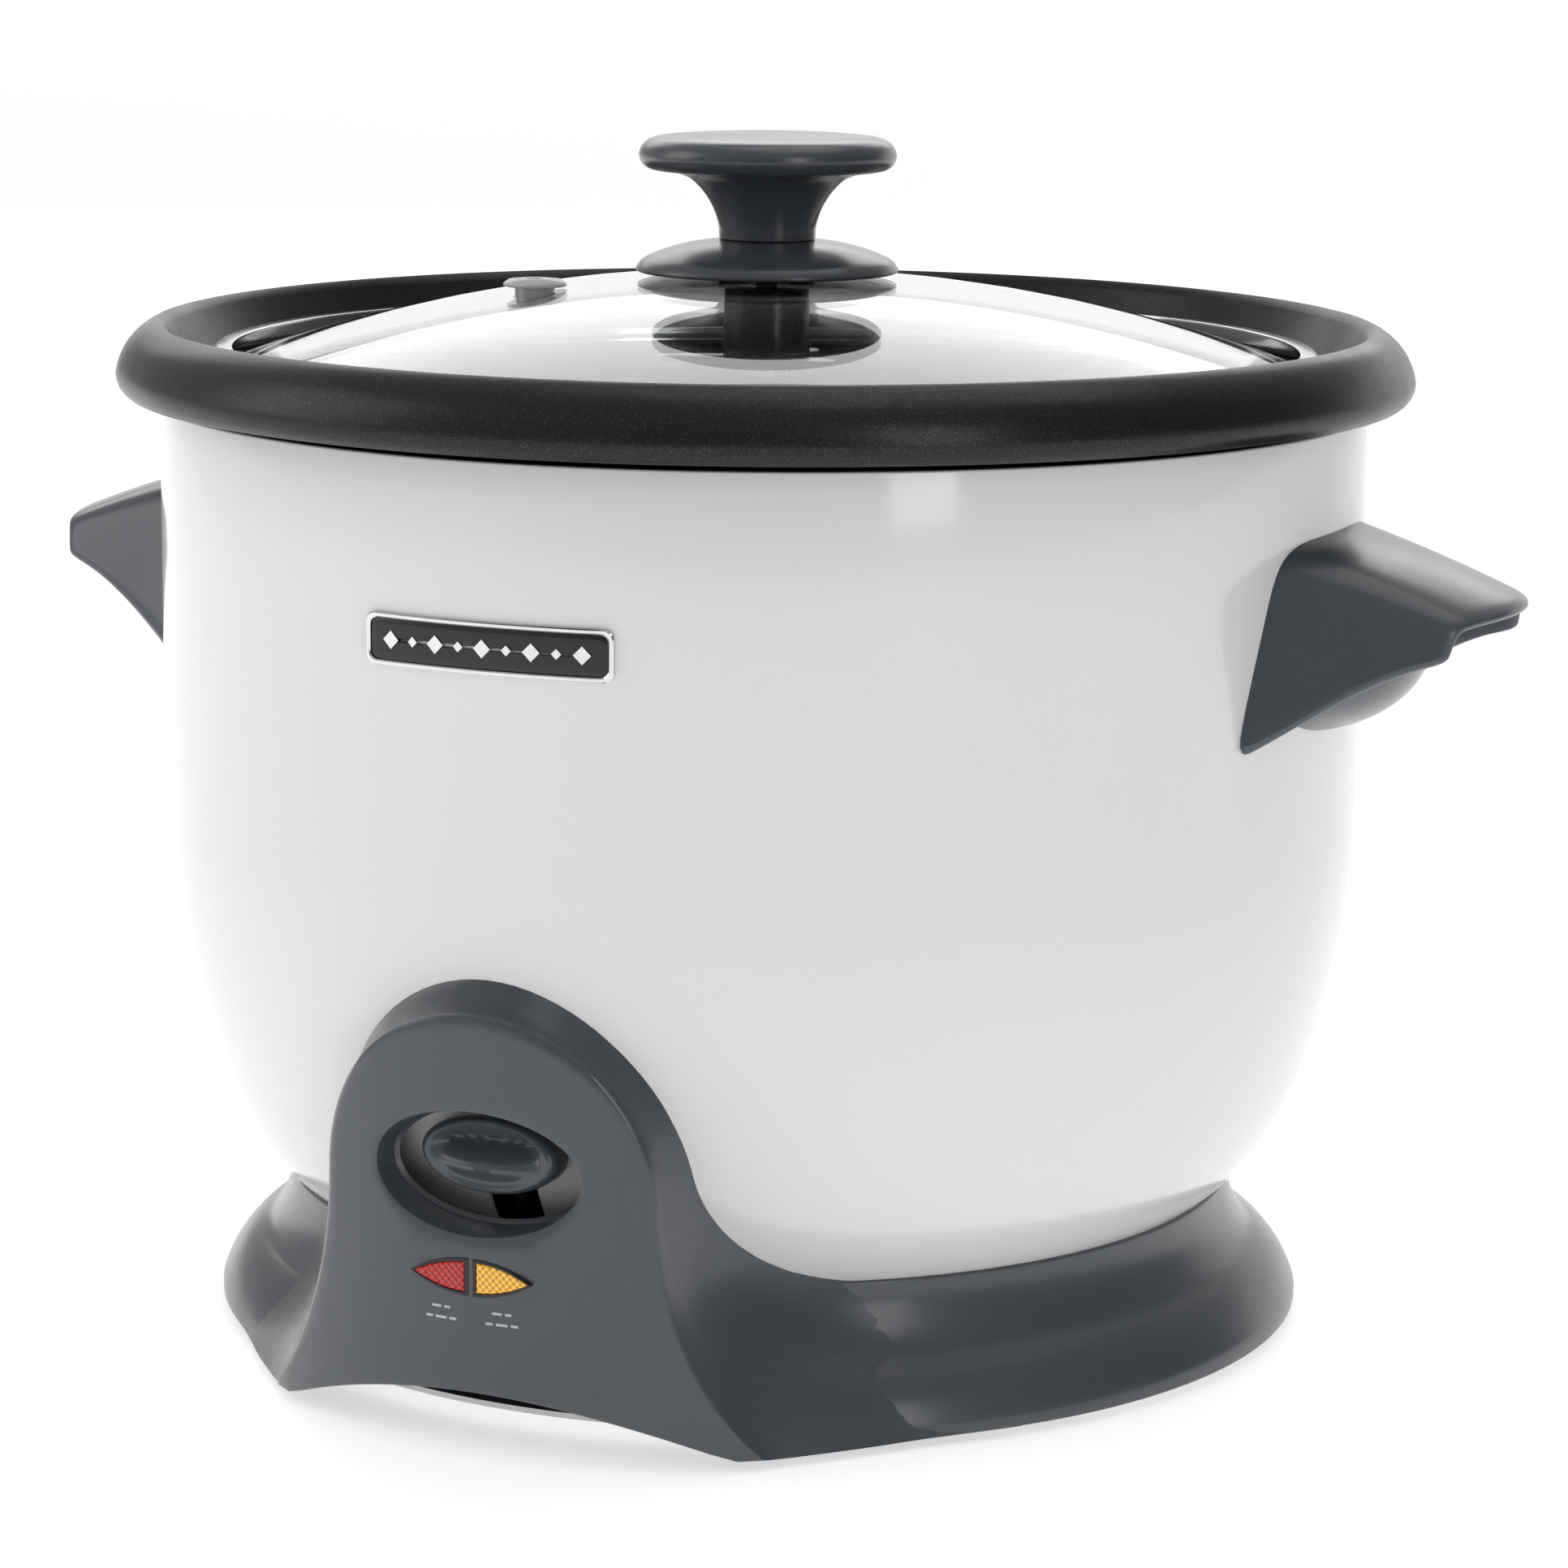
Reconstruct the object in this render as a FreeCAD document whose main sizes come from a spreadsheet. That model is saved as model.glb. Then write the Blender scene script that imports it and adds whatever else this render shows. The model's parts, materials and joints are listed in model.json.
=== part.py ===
import FreeCAD, Part
import math
import operator
import os
import Sketcher
from types import SimpleNamespace

# Automatic rice cooker: an enamelled steel shell on a flared plastic base, a non-stick pot with a
# broad rolled rim, a domed glass lid with a knob, and a lever that lifts a magnet under the pot.
# Millimetres. +Z is up, the control panel faces -Y, the handles lie along X, and the origin is the
# point of the table under the centre of the shell.

# ---------------------------------------------------------------- driving dimensions

DIMENSIONS = dict(
    # shell: straight wall, then two tangent arcs down to a flat floor
    shell_radius=134.4, shell_wall=1.0, shell_top=206.0, shell_bend=118.0,
    upper_arc=190.0, arc_join=60.0, lower_arc=60.0, floor_hole=30.0,
    slot_half=5.0, slot_low=22.0, slot_high=63.0, clearance=0.3,
    # base: skirt ring and front hood
    base_wall=2.5, skirt_radius=123.0, skirt_low=2.5, skirt_edge=5.0, shoulder_radius=110.0,
    shoulder_height=18.6, shoulder_arc=24.0, flare_arc=26.0, collar_radius=106.6,
    collar_height=32.5, saddle_hole=56.0, saddle_wall=2.5, cavity_height=23.0,
    hood_front=141.0, hood_curve=94.5, hood_back=95.0, face_half=38.0, face_centre=56.5,
    face_foot=58.0, back_half=50.0, back_centre=66.0, back_foot=70.0,
    arch_half=52.0, arch_rise=12.0, boss_radius=5.0, boss_circle=84.0, boss_low=6.0,
    boss_high=18.7, pilot_radius=1.5, cover_radius=119.6, cover_low=4.4, cover_thick=1.2,
    vent_circle=70.0, vent_radius=4.0, foot_circle=109.0, foot_radius=8.0, foot_depth=4.1,
    # lever recess, lever and its mechanism
    lever_height=61.0, tab_height=63.2, recess_half=23.3, recess_rise=12.8, recess_depth=10.5,
    recess_wall=2.2, tab_half=16.5, tab_rise=8.4, tab_thick=5.0, tab_gap=0.8, arm_half=1.5,
    pivot_back=62.0, pivot_height=30.0, pin_radius=2.0, pin_half=8.0, running_gap=0.05,
    arm_low=20.8, arm_high=24.2, cheek_gap=0.5, cheek_thick=1.5, cheek_length=16.0,
    cheek_high=36.0, striker_back=44.0, striker_reach=17.0, striker_low=37.7,
    # lamps behind the two lenses
    lens_length=11.6, lens_rise=3.1, lens_gap=2.8, lens_height=39.4, lens_thick=3.0,
    lens_arc=26.0, bezel_edge=0.9, lamp_radius=2.6, lamp_length=9.0, lamp_spacing=7.0,
    # badge on the shell
    badge_half=28.0, badge_rise=5.4, badge_height=168.5, badge_thick=1.2, badge_edge=1.1,
    # side handles
    handle_root=126.0, handle_tip=176.0, handle_wall=3.0, handle_low=141.0, handle_high=186.0,
    handle_half=44.0, shoulder_half=34.0, shoulder_low=171.0, top_half=23.0, lip_low=162.5,
    lip_high=170.5, lip_half=27.0, lip_turn=48.0, web_reach=150.0, web_low=153.0,
    handle_screw_y=18.0, handle_screw_z=164.0,
    # pot
    pot_radius=121.5, pot_wall=1.5, pot_floor=60.0, pot_corner=28.0, ledge_height=208.0,
    ledge_radius=128.0, ridge_radius=134.7, ridge_height=223.0, rim_radius=144.0,
    rim_height=212.0, curl_radius=141.6, curl_height=208.2,
    # lid
    glass_radius=120.0, glass_edge=213.2, glass_centre=233.6, glass_thick=4.0, lid_hole=4.2,
    band_radius=123.0, band_wall=0.6, band_low=209.9, band_high=217.6, band_lap=5.0,
    flange_radius=29.3, flange_low=234.0, flange_high=241.0, neck_radius=10.9,
    knob_radius=28.6, knob_under=256.2, knob_top=264.0, nut_radius=9.7, nut_low=213.5,
    nut_top=229.0, wing_reach=24.0, wing_thick=1.6, gasket_thick=0.9, lid_screw_radius=2.5,
    vent_x=-42.0, vent_y=-31.0, grommet_radius=7.0, grommet_bore=2.0,
    # liner, heating plate and what hangs under it
    liner_radius=126.0, liner_wall=0.8, liner_top=203.6, liner_lip=132.6, liner_bend=80.0,
    liner_low_radius=113.0, liner_low=52.0, liner_floor_radius=101.0, liner_floor=44.0,
    liner_hole=42.0, plate_radius=86.0, plate_top=59.7, plate_low=50.7, plate_hole=18.2,
    element_radius=66.0, element_tube=3.6, standoff_circle=50.0, standoff_radius=4.0,
    screw_radius=1.8, cup_radius=17.0, cup_wall=1.2, cup_low=47.0, ferrite_radius=12.6,
    ferrite_low=52.3, ferrite_thick=6.0, magnet_radius=11.0, magnet_low=40.0,
    magnet_thick=6.0, rod_radius=2.5, rod_low=25.6, guide_bore=11.3, guide_wall=1.2,
    guide_low=32.5, guide_high=50.0, guide_flange=19.0, guide_flange_thick=1.6, bridge_half=46.0,
    sensor_spring_radius=14.3, sensor_spring_wire=1.0, lever_spring_radius=2.8,
    lever_spring_wire=0.6, lever_spring_y=78.0, lever_spring_low=22.6, lever_spring_high=26.0,
    # electrical pieces
    gland_height=12.5, gland_radius=5.6, gland_bore=3.6, gland_flange=7.4,
    block_x=30.0, block_y=14.0, block_z=12.0, block_back=52.0,
    switch_x=10.0, switch_y=28.0, switch_z=16.0, switch_left=8.0, switch_front=58.0,
    plunger_radius=1.4, fuse_radius=2.4, fuse_length=22.0, wire_radius=0.9,
    warmer_x=24.0, warmer_y=10.0, warmer_z=4.0, warmer_back=78.0,
)

SCREW_HEAD = 1.9   # head radius over shank radius
SCREW_CAP = 1.1    # head height over shank radius
COIL_CHORDS = 16   # chords in one turn of a spring


class Size:
    """A number together with the sheet formula that gives it."""

    def __init__(self, number, text):
        self.number = float(number)
        self.text = text

    def _with(self, symbol, other, swap=False):
        other = as_size(other)
        first, second = (other, self) if swap else (self, other)
        work = {"+": operator.add, "-": operator.sub, "*": operator.mul, "/": operator.truediv}
        return Size(work[symbol](first.number, second.number), f"({first.text} {symbol} {second.text})")

    def __add__(self, other):
        return self._with("+", other)

    def __radd__(self, other):
        return self._with("+", other, swap=True)

    def __sub__(self, other):
        return self._with("-", other)

    def __rsub__(self, other):
        return self._with("-", other, swap=True)

    def __mul__(self, other):
        return self._with("*", other)

    def __rmul__(self, other):
        return self._with("*", other, swap=True)

    def __truediv__(self, other):
        return self._with("/", other)

    def __neg__(self):
        return self._with("*", -1)


def as_size(value):
    return value if isinstance(value, Size) else Size(value, f"({value:.8g})")


def root(value):
    """The square root of a size."""
    value = as_size(value)
    return Size(math.sqrt(value.number), f"sqrt({value.text})")


def reach(radius, offset):
    """How far a circle of this radius reaches at this offset from its centre."""
    return root(radius * radius - offset * offset)


doc = FreeCAD.newDocument("rice_cooker")
sheet = doc.addObject("Spreadsheet::Sheet", "Sizes")
for row, (alias, number) in enumerate(DIMENSIONS.items(), start=1):
    sheet.set(f"A{row}", alias)
    sheet.set(f"B{row}", str(number))
    sheet.setAlias(f"B{row}", alias)
doc.recompute()
d = SimpleNamespace(**{alias: Size(number, "Sizes." + alias) for alias, number in DIMENSIONS.items()})

FINISHED = []   # the sub-parts that are written out, in order

# ---------------------------------------------------------------- small CAD helpers


def bind(thing, **sizes):
    """Ties properties of an object to the sheet."""
    for name, size in sizes.items():
        thing.setExpression(name, as_size(size).text)
    return thing


def put(thing, x=0, y=0, z=0, axis=(0, 0, 1), angle=0):
    """Places an object, its position tied to the sheet."""
    turn = FreeCAD.Rotation(FreeCAD.Vector(*axis), angle)
    places = [as_size(value) for value in (x, y, z)]
    thing.Placement = FreeCAD.Placement(FreeCAD.Vector(*[place.number for place in places]), turn)
    for letter, place in zip("xyz", places):
        thing.setExpression(f".Placement.Base.{letter}", place.text)
    return thing


def finish(thing, label):
    """Names an object as one of the sub-parts."""
    thing.Label = label
    FINISHED.append(thing)
    return thing


def cylinder(name, radius, height, **place):
    return put(bind(doc.addObject("Part::Cylinder", name), Radius=radius, Height=height), **place)


def block(name, length, width, height, **place):
    return put(bind(doc.addObject("Part::Box", name), Length=length, Width=width, Height=height), **place)


def lying(name, radius, length, x, y, z, toward="y"):
    """A cylinder that lies along +X, +Y or -Y from a point."""
    axis, angle = {"x": ((0, 1, 0), 90), "y": ((1, 0, 0), -90), "-y": ((1, 0, 0), 90)}[toward]
    return cylinder(name, radius, length, x=x, y=y, z=z, axis=axis, angle=angle)


def cut(name, base, tool):
    thing = doc.addObject("Part::Cut", name)
    thing.Base, thing.Tool = base, tool
    thing.Refine = False
    return thing


def common(name, base, tool):
    thing = doc.addObject("Part::Common", name)
    thing.Base, thing.Tool = base, tool
    thing.Refine = False
    return thing


def fuse(name, *pieces):
    thing = doc.addObject("Part::MultiFuse", name)
    thing.Shapes = list(pieces)
    thing.Refine = False
    return thing


def group(name, pieces):
    """Separate solids that share one sub-part."""
    thing = doc.addObject("Part::Compound", name)
    thing.Links = list(pieces)
    return thing


def sketch_on(body, name, plane, offset=0):
    """A sketch on an origin plane of its body, moved along the plane's normal."""
    sketch = body.newObject("Sketcher::SketchObject", name)
    origin_plane = next(item for item in body.Origin.OriginFeatures if item.Role == plane)
    sketch.AttachmentSupport = [(origin_plane, "")]
    sketch.MapMode = "FlatFace"
    offset = as_size(offset)
    sketch.AttachmentOffset = FreeCAD.Placement(FreeCAD.Vector(0, 0, offset.number), FreeCAD.Rotation())
    sketch.setExpression("AttachmentOffset.Base.z", offset.text)
    return sketch


def pin_point(sketch, curve, end, x, y):
    """Fixes a point of a sketch at a place given by the sheet."""
    for kind, axis_id, value in (("DistanceX", -2, as_size(x)), ("DistanceY", -1, as_size(y))):
        if abs(value.number) < 1e-9:
            sketch.addConstraint(Sketcher.Constraint("PointOnObject", curve, end, axis_id))
            continue
        index = sketch.addConstraint(Sketcher.Constraint(kind, -1, 1, curve, end, value.number))
        sketch.setExpression(f"Constraints[{index}]", value.text)


def draw_circle(sketch, x, y, radius):
    x, y, radius = as_size(x), as_size(y), as_size(radius)
    centre = FreeCAD.Vector(x.number, y.number, 0)
    curve = sketch.addGeometry(Part.Circle(centre, FreeCAD.Vector(0, 0, 1), radius.number), False)
    index = sketch.addConstraint(Sketcher.Constraint("Radius", curve, radius.number))
    sketch.setExpression(f"Constraints[{index}]", radius.text)
    pin_point(sketch, curve, 3, x, y)


def arc_through(start, stop, radius, side):
    """The short arc between two points. side is 1 with its centre on the left, -1 on the right."""
    chord = stop - start
    rise = math.sqrt(max(radius ** 2 - chord.Length ** 2 / 4, 0))
    left = FreeCAD.Vector(-chord.y, chord.x, 0) / chord.Length
    centre = (start + stop) / 2 + left * rise * side
    first, last = (start, stop) if side > 0 else (stop, start)
    angles = [math.atan2(point.y - centre.y, point.x - centre.x) for point in (first, last)]
    return Part.ArcOfCircle(Part.Circle(centre, FreeCAD.Vector(0, 0, 1), radius), *angles)


def draw_outline(sketch, corners):
    """A closed outline. A corner is (x, y), or (x, y, radius, side) where an arc leaves it."""
    points = [FreeCAD.Vector(as_size(c[0]).number, as_size(c[1]).number, 0) for c in corners]
    ends = []
    for index, corner in enumerate(corners):
        start, stop = points[index], points[(index + 1) % len(points)]
        if len(corner) == 2:
            curve = sketch.addGeometry(Part.LineSegment(start, stop), False)
            ends.append((curve, 1, 2))
            continue
        radius, side = as_size(corner[2]), corner[3]
        curve = sketch.addGeometry(arc_through(start, stop, radius.number, side), False)
        bound = sketch.addConstraint(Sketcher.Constraint("Radius", curve, radius.number))
        sketch.setExpression(f"Constraints[{bound}]", radius.text)
        ends.append((curve, 1, 2) if side > 0 else (curve, 2, 1))
    for index, (curve, first, last) in enumerate(ends):
        following = ends[(index + 1) % len(ends)]
        sketch.addConstraint(Sketcher.Constraint("Coincident", curve, last, following[0], following[1]))
        pin_point(sketch, curve, first, *corners[index][:2])


def new_body(name):
    return doc.addObject("PartDesign::Body", name)


def turned(name, corners):
    """A body of revolution about Z from an outline in the XZ plane."""
    body = new_body(name)
    sketch = sketch_on(body, name + "_profile", "XZ_Plane")
    draw_outline(sketch, corners)
    feature = body.newObject("PartDesign::Revolution", name + "_turn")
    feature.Profile = sketch
    feature.ReferenceAxis = (sketch, ["V_Axis"])
    feature.Angle = 360
    return body


def padded(name, length, corners=None, circles=(), plane="XY_Plane", offset=0):
    """A prism on an origin plane, with round holes or discs as extra circles."""
    body = new_body(name)
    sketch = sketch_on(body, name + "_outline", plane, offset)
    if corners:
        draw_outline(sketch, corners)
    for circle in circles:
        draw_circle(sketch, *circle)
    feature = body.newObject("PartDesign::Pad", name + "_pad")
    feature.Profile = sketch
    bind(feature, Length=length)
    return body


def lofted(body, name, plane, sections, removing=False):
    """A straight loft between outlines given as (offset, corners)."""
    sketches = []
    for index, (offset, corners) in enumerate(sections):
        sketch = sketch_on(body, f"{name}_section{index}", plane, offset)
        draw_outline(sketch, corners)
        sketches.append(sketch)
    kind = "PartDesign::SubtractiveLoft" if removing else "PartDesign::AdditiveLoft"
    feature = body.newObject(kind, name)
    feature.Profile = sketches[0]
    feature.Sections = sketches[1:]
    feature.Ruled = True


def drill(body, name, circles, plane="XY_Plane"):
    """Cuts round holes right through a body, both ways from an origin plane."""
    sketch = sketch_on(body, name + "_holes", plane)
    for circle in circles:
        draw_circle(sketch, *circle)
    pocket = body.newObject("PartDesign::Pocket", name)
    pocket.Profile = sketch
    pocket.Type = "ThroughAll"
    pocket.Midplane = True


def around(radius, count, first_degrees):
    """Evenly spaced points on a circle about Z."""
    turns = [math.radians(first_degrees + 360 * index / count) for index in range(count)]
    return [(radius * math.cos(turn), radius * math.sin(turn)) for turn in turns]


def screw(name, x, y, z, length, radius, toward="up"):
    """A pan-head screw from the underside of its head. Its shank points up, down or along +X or -X."""
    shank = cylinder(name + "_shank", radius, length)
    head = cylinder(name + "_head", radius * SCREW_HEAD, radius * SCREW_CAP, z=-(radius * SCREW_CAP))
    whole = fuse(name, shank, head)
    axis, angle = {"up": ((0, 0, 1), 0), "down": ((1, 0, 0), 180), "+x": ((0, 1, 0), 90),
                   "-x": ((0, 1, 0), -90)}[toward]
    return put(whole, x=x, y=y, z=z, axis=axis, angle=angle)


def coil(name, radius, wire, low, high, turns, y=0):
    """A spring whose wire follows short chords of a helix, its outside between two heights."""
    radius, wire, low, high = radius.number, wire.number, low.number, high.number
    y = as_size(y).number
    steps = turns * COIL_CHORDS
    rise = (high - low - 2 * wire) / steps
    points = []
    for index in range(steps + 1):
        turn = math.tau * index / COIL_CHORDS
        points.append(FreeCAD.Vector(radius * math.cos(turn), y + radius * math.sin(turn),
                                     low + wire + rise * index))
    ring = Part.Wire(Part.Circle(points[0], points[1] - points[0], wire).toShape())
    mitred = 1
    spring = doc.addObject("Part::Feature", name)
    spring.Shape = Part.makePolygon(points).makePipeShell([ring], True, True, mitred)
    return spring

# ---------------------------------------------------------------- shell and liner


def shell_arcs():
    """The shell's outer outline: centre of the upper arc, cosine and sine where it meets the
    lower arc, the join's radius and the centre of the lower arc."""
    upper_x = d.shell_radius - d.upper_arc
    sine = (d.shell_bend - d.arc_join) / d.upper_arc
    cosine = root(1 - sine * sine)
    join_x = upper_x + d.upper_arc * cosine
    return SimpleNamespace(upper_x=upper_x, sine=sine, cosine=cosine,
                           lower_x=join_x - d.lower_arc * cosine,
                           lower_z=d.arc_join + d.lower_arc * sine)


def shell_side(inset):
    """Corners of the shell's outline at a depth under its outer face, from the top down."""
    arcs = shell_arcs()
    upper, lower = d.upper_arc - inset, d.lower_arc - inset
    return [
        (d.shell_radius - inset, d.shell_top),
        (d.shell_radius - inset, d.shell_bend, upper, -1),
        (arcs.upper_x + upper * arcs.cosine, d.shell_bend - upper * arcs.sine, lower, -1),
        (arcs.lower_x, arcs.lower_z - lower),
    ]


def shell_envelope(name, gap):
    """The space that the shell fills, grown by a gap."""
    side = shell_side(-gap)
    floor = side[-1][1]
    return turned(name, [(0, d.shell_top)] + side + [(0, floor)])


def make_outer_shell():
    outer, inner = shell_side(0), shell_side(d.shell_wall)
    arcs = shell_arcs()
    upper, lower = d.upper_arc - d.shell_wall, d.lower_arc - d.shell_wall
    back = [
        (d.floor_hole, outer[-1][1]),
        (d.floor_hole, inner[-1][1]),
        (inner[3][0], inner[3][1], lower, 1),
        (inner[2][0], inner[2][1], upper, 1),
        (inner[1][0], inner[1][1]),
        (inner[0][0], inner[0][1]),
    ]
    shell = turned("outer_shell_body", outer + back)
    holes = [(side * d.handle_screw_y, d.handle_screw_z, 2.2) for side in (1, -1)]
    drill(shell, "handle_screw_holes", holes, plane="YZ_Plane")
    drill(shell, "base_screw_holes", [(x, y, d.screw_radius + 0.2) for x, y in around(63, 4, 45)])
    slot = block("lever_slot", d.slot_half * 2, 50, d.slot_high - d.slot_low,
                 x=-d.slot_half, y=-d.shell_radius, z=d.slot_low)
    badge_pins = [lying(f"badge_hole{side}", 1.3, 12, side * 20, -d.shell_radius - 4, d.badge_height)
                  for side in (1, -1)]
    finish(cut("outer_shell", shell, fuse("shell_cuts", slot, *badge_pins)), "outer_shell")


def make_inner_liner():
    wall = d.liner_wall
    liner = turned("inner_liner_body", [
        (d.liner_lip, d.liner_top), (d.liner_lip, d.liner_top - wall),
        (d.liner_radius + wall, d.liner_top - wall), (d.liner_radius + wall, d.liner_bend),
        (d.liner_low_radius + wall, d.liner_low), (d.liner_floor_radius + wall, d.liner_floor),
        (d.liner_hole, d.liner_floor), (d.liner_hole, d.liner_floor + wall),
        (d.liner_floor_radius, d.liner_floor + wall), (d.liner_low_radius, d.liner_low),
        (d.liner_radius, d.liner_bend), (d.liner_radius, d.liner_top)])
    holes = [(x, y, d.screw_radius + 0.2) for x, y in around(d.standoff_circle, 3, 90)]
    drill(liner, "liner_holes", holes + [(side * d.element_radius, 0, 2.5) for side in (1, -1)])
    finish(liner, "inner_liner")


# ---------------------------------------------------------------- base housing


def skirt_ring():
    """The round base: a flared skirt outside and a saddle that carries the shell inside."""
    arcs = shell_arcs()
    seat, under = d.lower_arc + d.clearance, d.lower_arc + d.clearance + d.saddle_wall

    def on_saddle(radius, height):
        return arcs.lower_x + reach(radius, arcs.lower_z - height)

    seat_floor, under_floor = arcs.lower_z - seat, arcs.lower_z - under
    inner_shoulder = d.shoulder_height - d.base_wall
    return turned("skirt_ring", [
        (d.skirt_radius, d.skirt_low),
        (d.skirt_radius, d.skirt_edge, d.shoulder_arc, 1),
        (d.shoulder_radius, d.shoulder_height, d.flare_arc, -1),
        (on_saddle(seat, d.collar_height) + 0.8, d.collar_height),
        (on_saddle(seat, d.collar_height), d.collar_height, seat, -1),
        (arcs.lower_x, seat_floor),
        (d.saddle_hole, seat_floor),
        (d.saddle_hole, under_floor),
        (arcs.lower_x, under_floor, under, 1),
        (on_saddle(under, d.cavity_height), d.cavity_height),
        (d.shoulder_radius - d.base_wall, inner_shoulder, d.shoulder_arc, -1),
        (d.skirt_radius - d.base_wall, d.skirt_edge),
        (d.skirt_radius - d.base_wall, d.skirt_low),
    ])


def bell(half, centre, foot, low):
    """The hood's outline: a round arch on two flares that spread to the foot."""
    spread, rise = foot - half, centre - low
    flare = (spread * spread + rise * rise) / (spread * 2)
    return [(foot, low, flare, -1), (half, centre, half, 1), (0, centre + half, half, 1),
            (-half, centre, flare, -1), (-foot, low)]


def hood_solid(name, inset, back):
    """The hood's volume, inset by a wall: a bell-shaped loft under a rounded front."""
    low = d.skirt_low - inset * 2
    front_bell = bell(d.face_half - inset, d.face_centre, d.face_foot - inset, low)
    back_bell = bell(d.back_half - inset, d.back_centre, d.back_foot - inset, low)
    body = new_body(name + "_loft")
    lofted(body, name, "XZ_Plane", [(d.hood_front + 2, front_bell), (back, back_bell)])
    front = cylinder(name + "_front", d.hood_curve - inset, 140,
                     y=d.hood_curve - d.hood_front, z=low - 1)
    return common(name + "_volume", body, front)


def ellipse_prism(name, half, rise, depth, y, z):
    """An elliptical prism along -Y, from its back face."""
    ring = bind(doc.addObject("Part::Ellipse", name + "_ring"), MajorRadius=half, MinorRadius=rise)
    prism = doc.addObject("Part::Extrusion", name)
    prism.Base = ring
    prism.DirMode = "Custom"
    prism.Dir = FreeCAD.Vector(0, 0, 1)
    prism.Solid = True
    bind(prism, LengthFwd=depth)
    return put(prism, y=y, z=z, axis=(1, 0, 0), angle=90)


def lens_corners(side, margin):
    """A lens: flat toward the middle of the panel and pointed outward."""
    inner = side * (d.lens_gap / 2 - margin)
    outer = side * (d.lens_gap / 2 + d.lens_length + margin)
    low = d.lens_height - d.lens_rise - margin
    high = d.lens_height + d.lens_rise + margin
    return [(inner, low, d.lens_arc, side), (outer, d.lens_height, d.lens_arc, side), (inner, high)]


def make_base_housing():
    outer = hood_solid("hood_outer", as_size(0), d.hood_back)
    inner = hood_solid("hood_inner", d.base_wall, d.hood_back - 6)
    floor_y = -(d.hood_front - d.recess_depth)
    prism = ellipse_prism("recess_prism", d.recess_half + d.recess_wall, d.recess_rise + d.recess_wall,
                          d.recess_depth + d.recess_wall, y=floor_y + d.recess_wall, z=d.lever_height)
    cup = common("recess_cup", prism, outer)
    cover_space = cylinder("cover_space", d.cover_radius + 0.5, d.cover_low + d.cover_thick + 0.3)
    hood = cut("hood", fuse("hood_with_cup", cut("hood_wall", outer, inner), cup),
               fuse("hood_clearances", shell_envelope("shell_space", d.clearance + 0.05), cover_space))
    bosses = [cylinder(f"boss{index}", d.boss_radius, d.boss_high - d.boss_low, x=x, y=y, z=d.boss_low)
              for index, (x, y) in enumerate(around(d.boss_circle, 4, 45))]
    plain = fuse("housing_plain", skirt_ring(), hood, *bosses)
    arch_radius = (d.arch_half * d.arch_half + d.arch_rise * d.arch_rise) / (d.arch_rise * 2)
    tools = [
        lying("front_arch", arch_radius, 45, 0, -145, d.skirt_low + d.arch_rise - arch_radius),
        ellipse_prism("recess_pocket", d.recess_half, d.recess_rise, d.recess_depth + 5,
                      y=floor_y, z=d.lever_height),
        block("recess_slot", d.arm_half * 2 + 3, 14, 23, x=-(d.arm_half + 1.5), y=floor_y - 2,
              z=d.lever_height - 15),
        lying("gland_hole", d.gland_radius + 0.05, 30, 0, 100, d.gland_height),
        lying("gland_seat", d.gland_flange + 0.05, 10, 0, d.skirt_radius - 1.55, d.gland_height),
        block("arm_passage", d.slot_half * 2, 38, 26, x=-d.slot_half, y=-124, z=d.slot_low - 2),
    ]
    for side in (1, -1):
        window = padded(f"lens_window{side}", 20, lens_corners(side, d.bezel_edge + 0.05),
                        plane="XZ_Plane", offset=d.hood_front - 12)
        tools.append(window)
    for index, (x, y) in enumerate(around(d.boss_circle, 4, 45)):
        tools.append(cylinder(f"pilot{index}", d.pilot_radius, 10, x=x, y=y, z=d.boss_low - 1))
    for index, (x, y) in enumerate(around(63, 4, 45)):
        tools.append(cylinder(f"saddle_hole{index}", d.screw_radius + 0.2, 10, x=x, y=y, z=12))
    finish(cut("base_housing", plain, fuse("housing_cuts", *tools)), "base_housing")


def make_bottom():
    vents = [(x, y, d.vent_radius) for x, y in around(d.vent_circle, 8, 22.5)]
    holes = [(x, y, d.pilot_radius + 0.3) for x, y in around(d.boss_circle, 4, 45)]
    cover = padded("bottom_cover", d.cover_thick, circles=[(0, 0, d.cover_radius)] + vents + holes)
    finish(put(cover, z=d.cover_low), "bottom_cover")
    feet = []
    for index, degrees in enumerate((33, 147, 213, 327)):
        foot = doc.addObject("Part::Cone", f"foot{index}")
        bind(foot, Radius1=d.foot_radius - 0.8, Radius2=d.foot_radius, Height=d.foot_depth)
        turn = math.radians(degrees)
        feet.append(put(foot, x=d.foot_circle * math.cos(turn), y=d.foot_circle * math.sin(turn)))
    finish(group("feet", feet), "feet")
    screws = [screw(f"cover_screw{index}", x, y, d.cover_low - 0.05, 8, d.pilot_radius - 0.05)
              for index, (x, y) in enumerate(around(d.boss_circle, 4, 45))]
    finish(group("cover_screws", screws), "cover_screws")
    seat = shell_arcs().lower_z - d.lower_arc - d.clearance - d.saddle_wall - 0.1
    screws = [screw(f"base_screw{index}", x, y, seat, 7, d.screw_radius)
              for index, (x, y) in enumerate(around(63, 4, 45))]
    finish(group("base_screws", screws), "base_screws")


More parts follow.
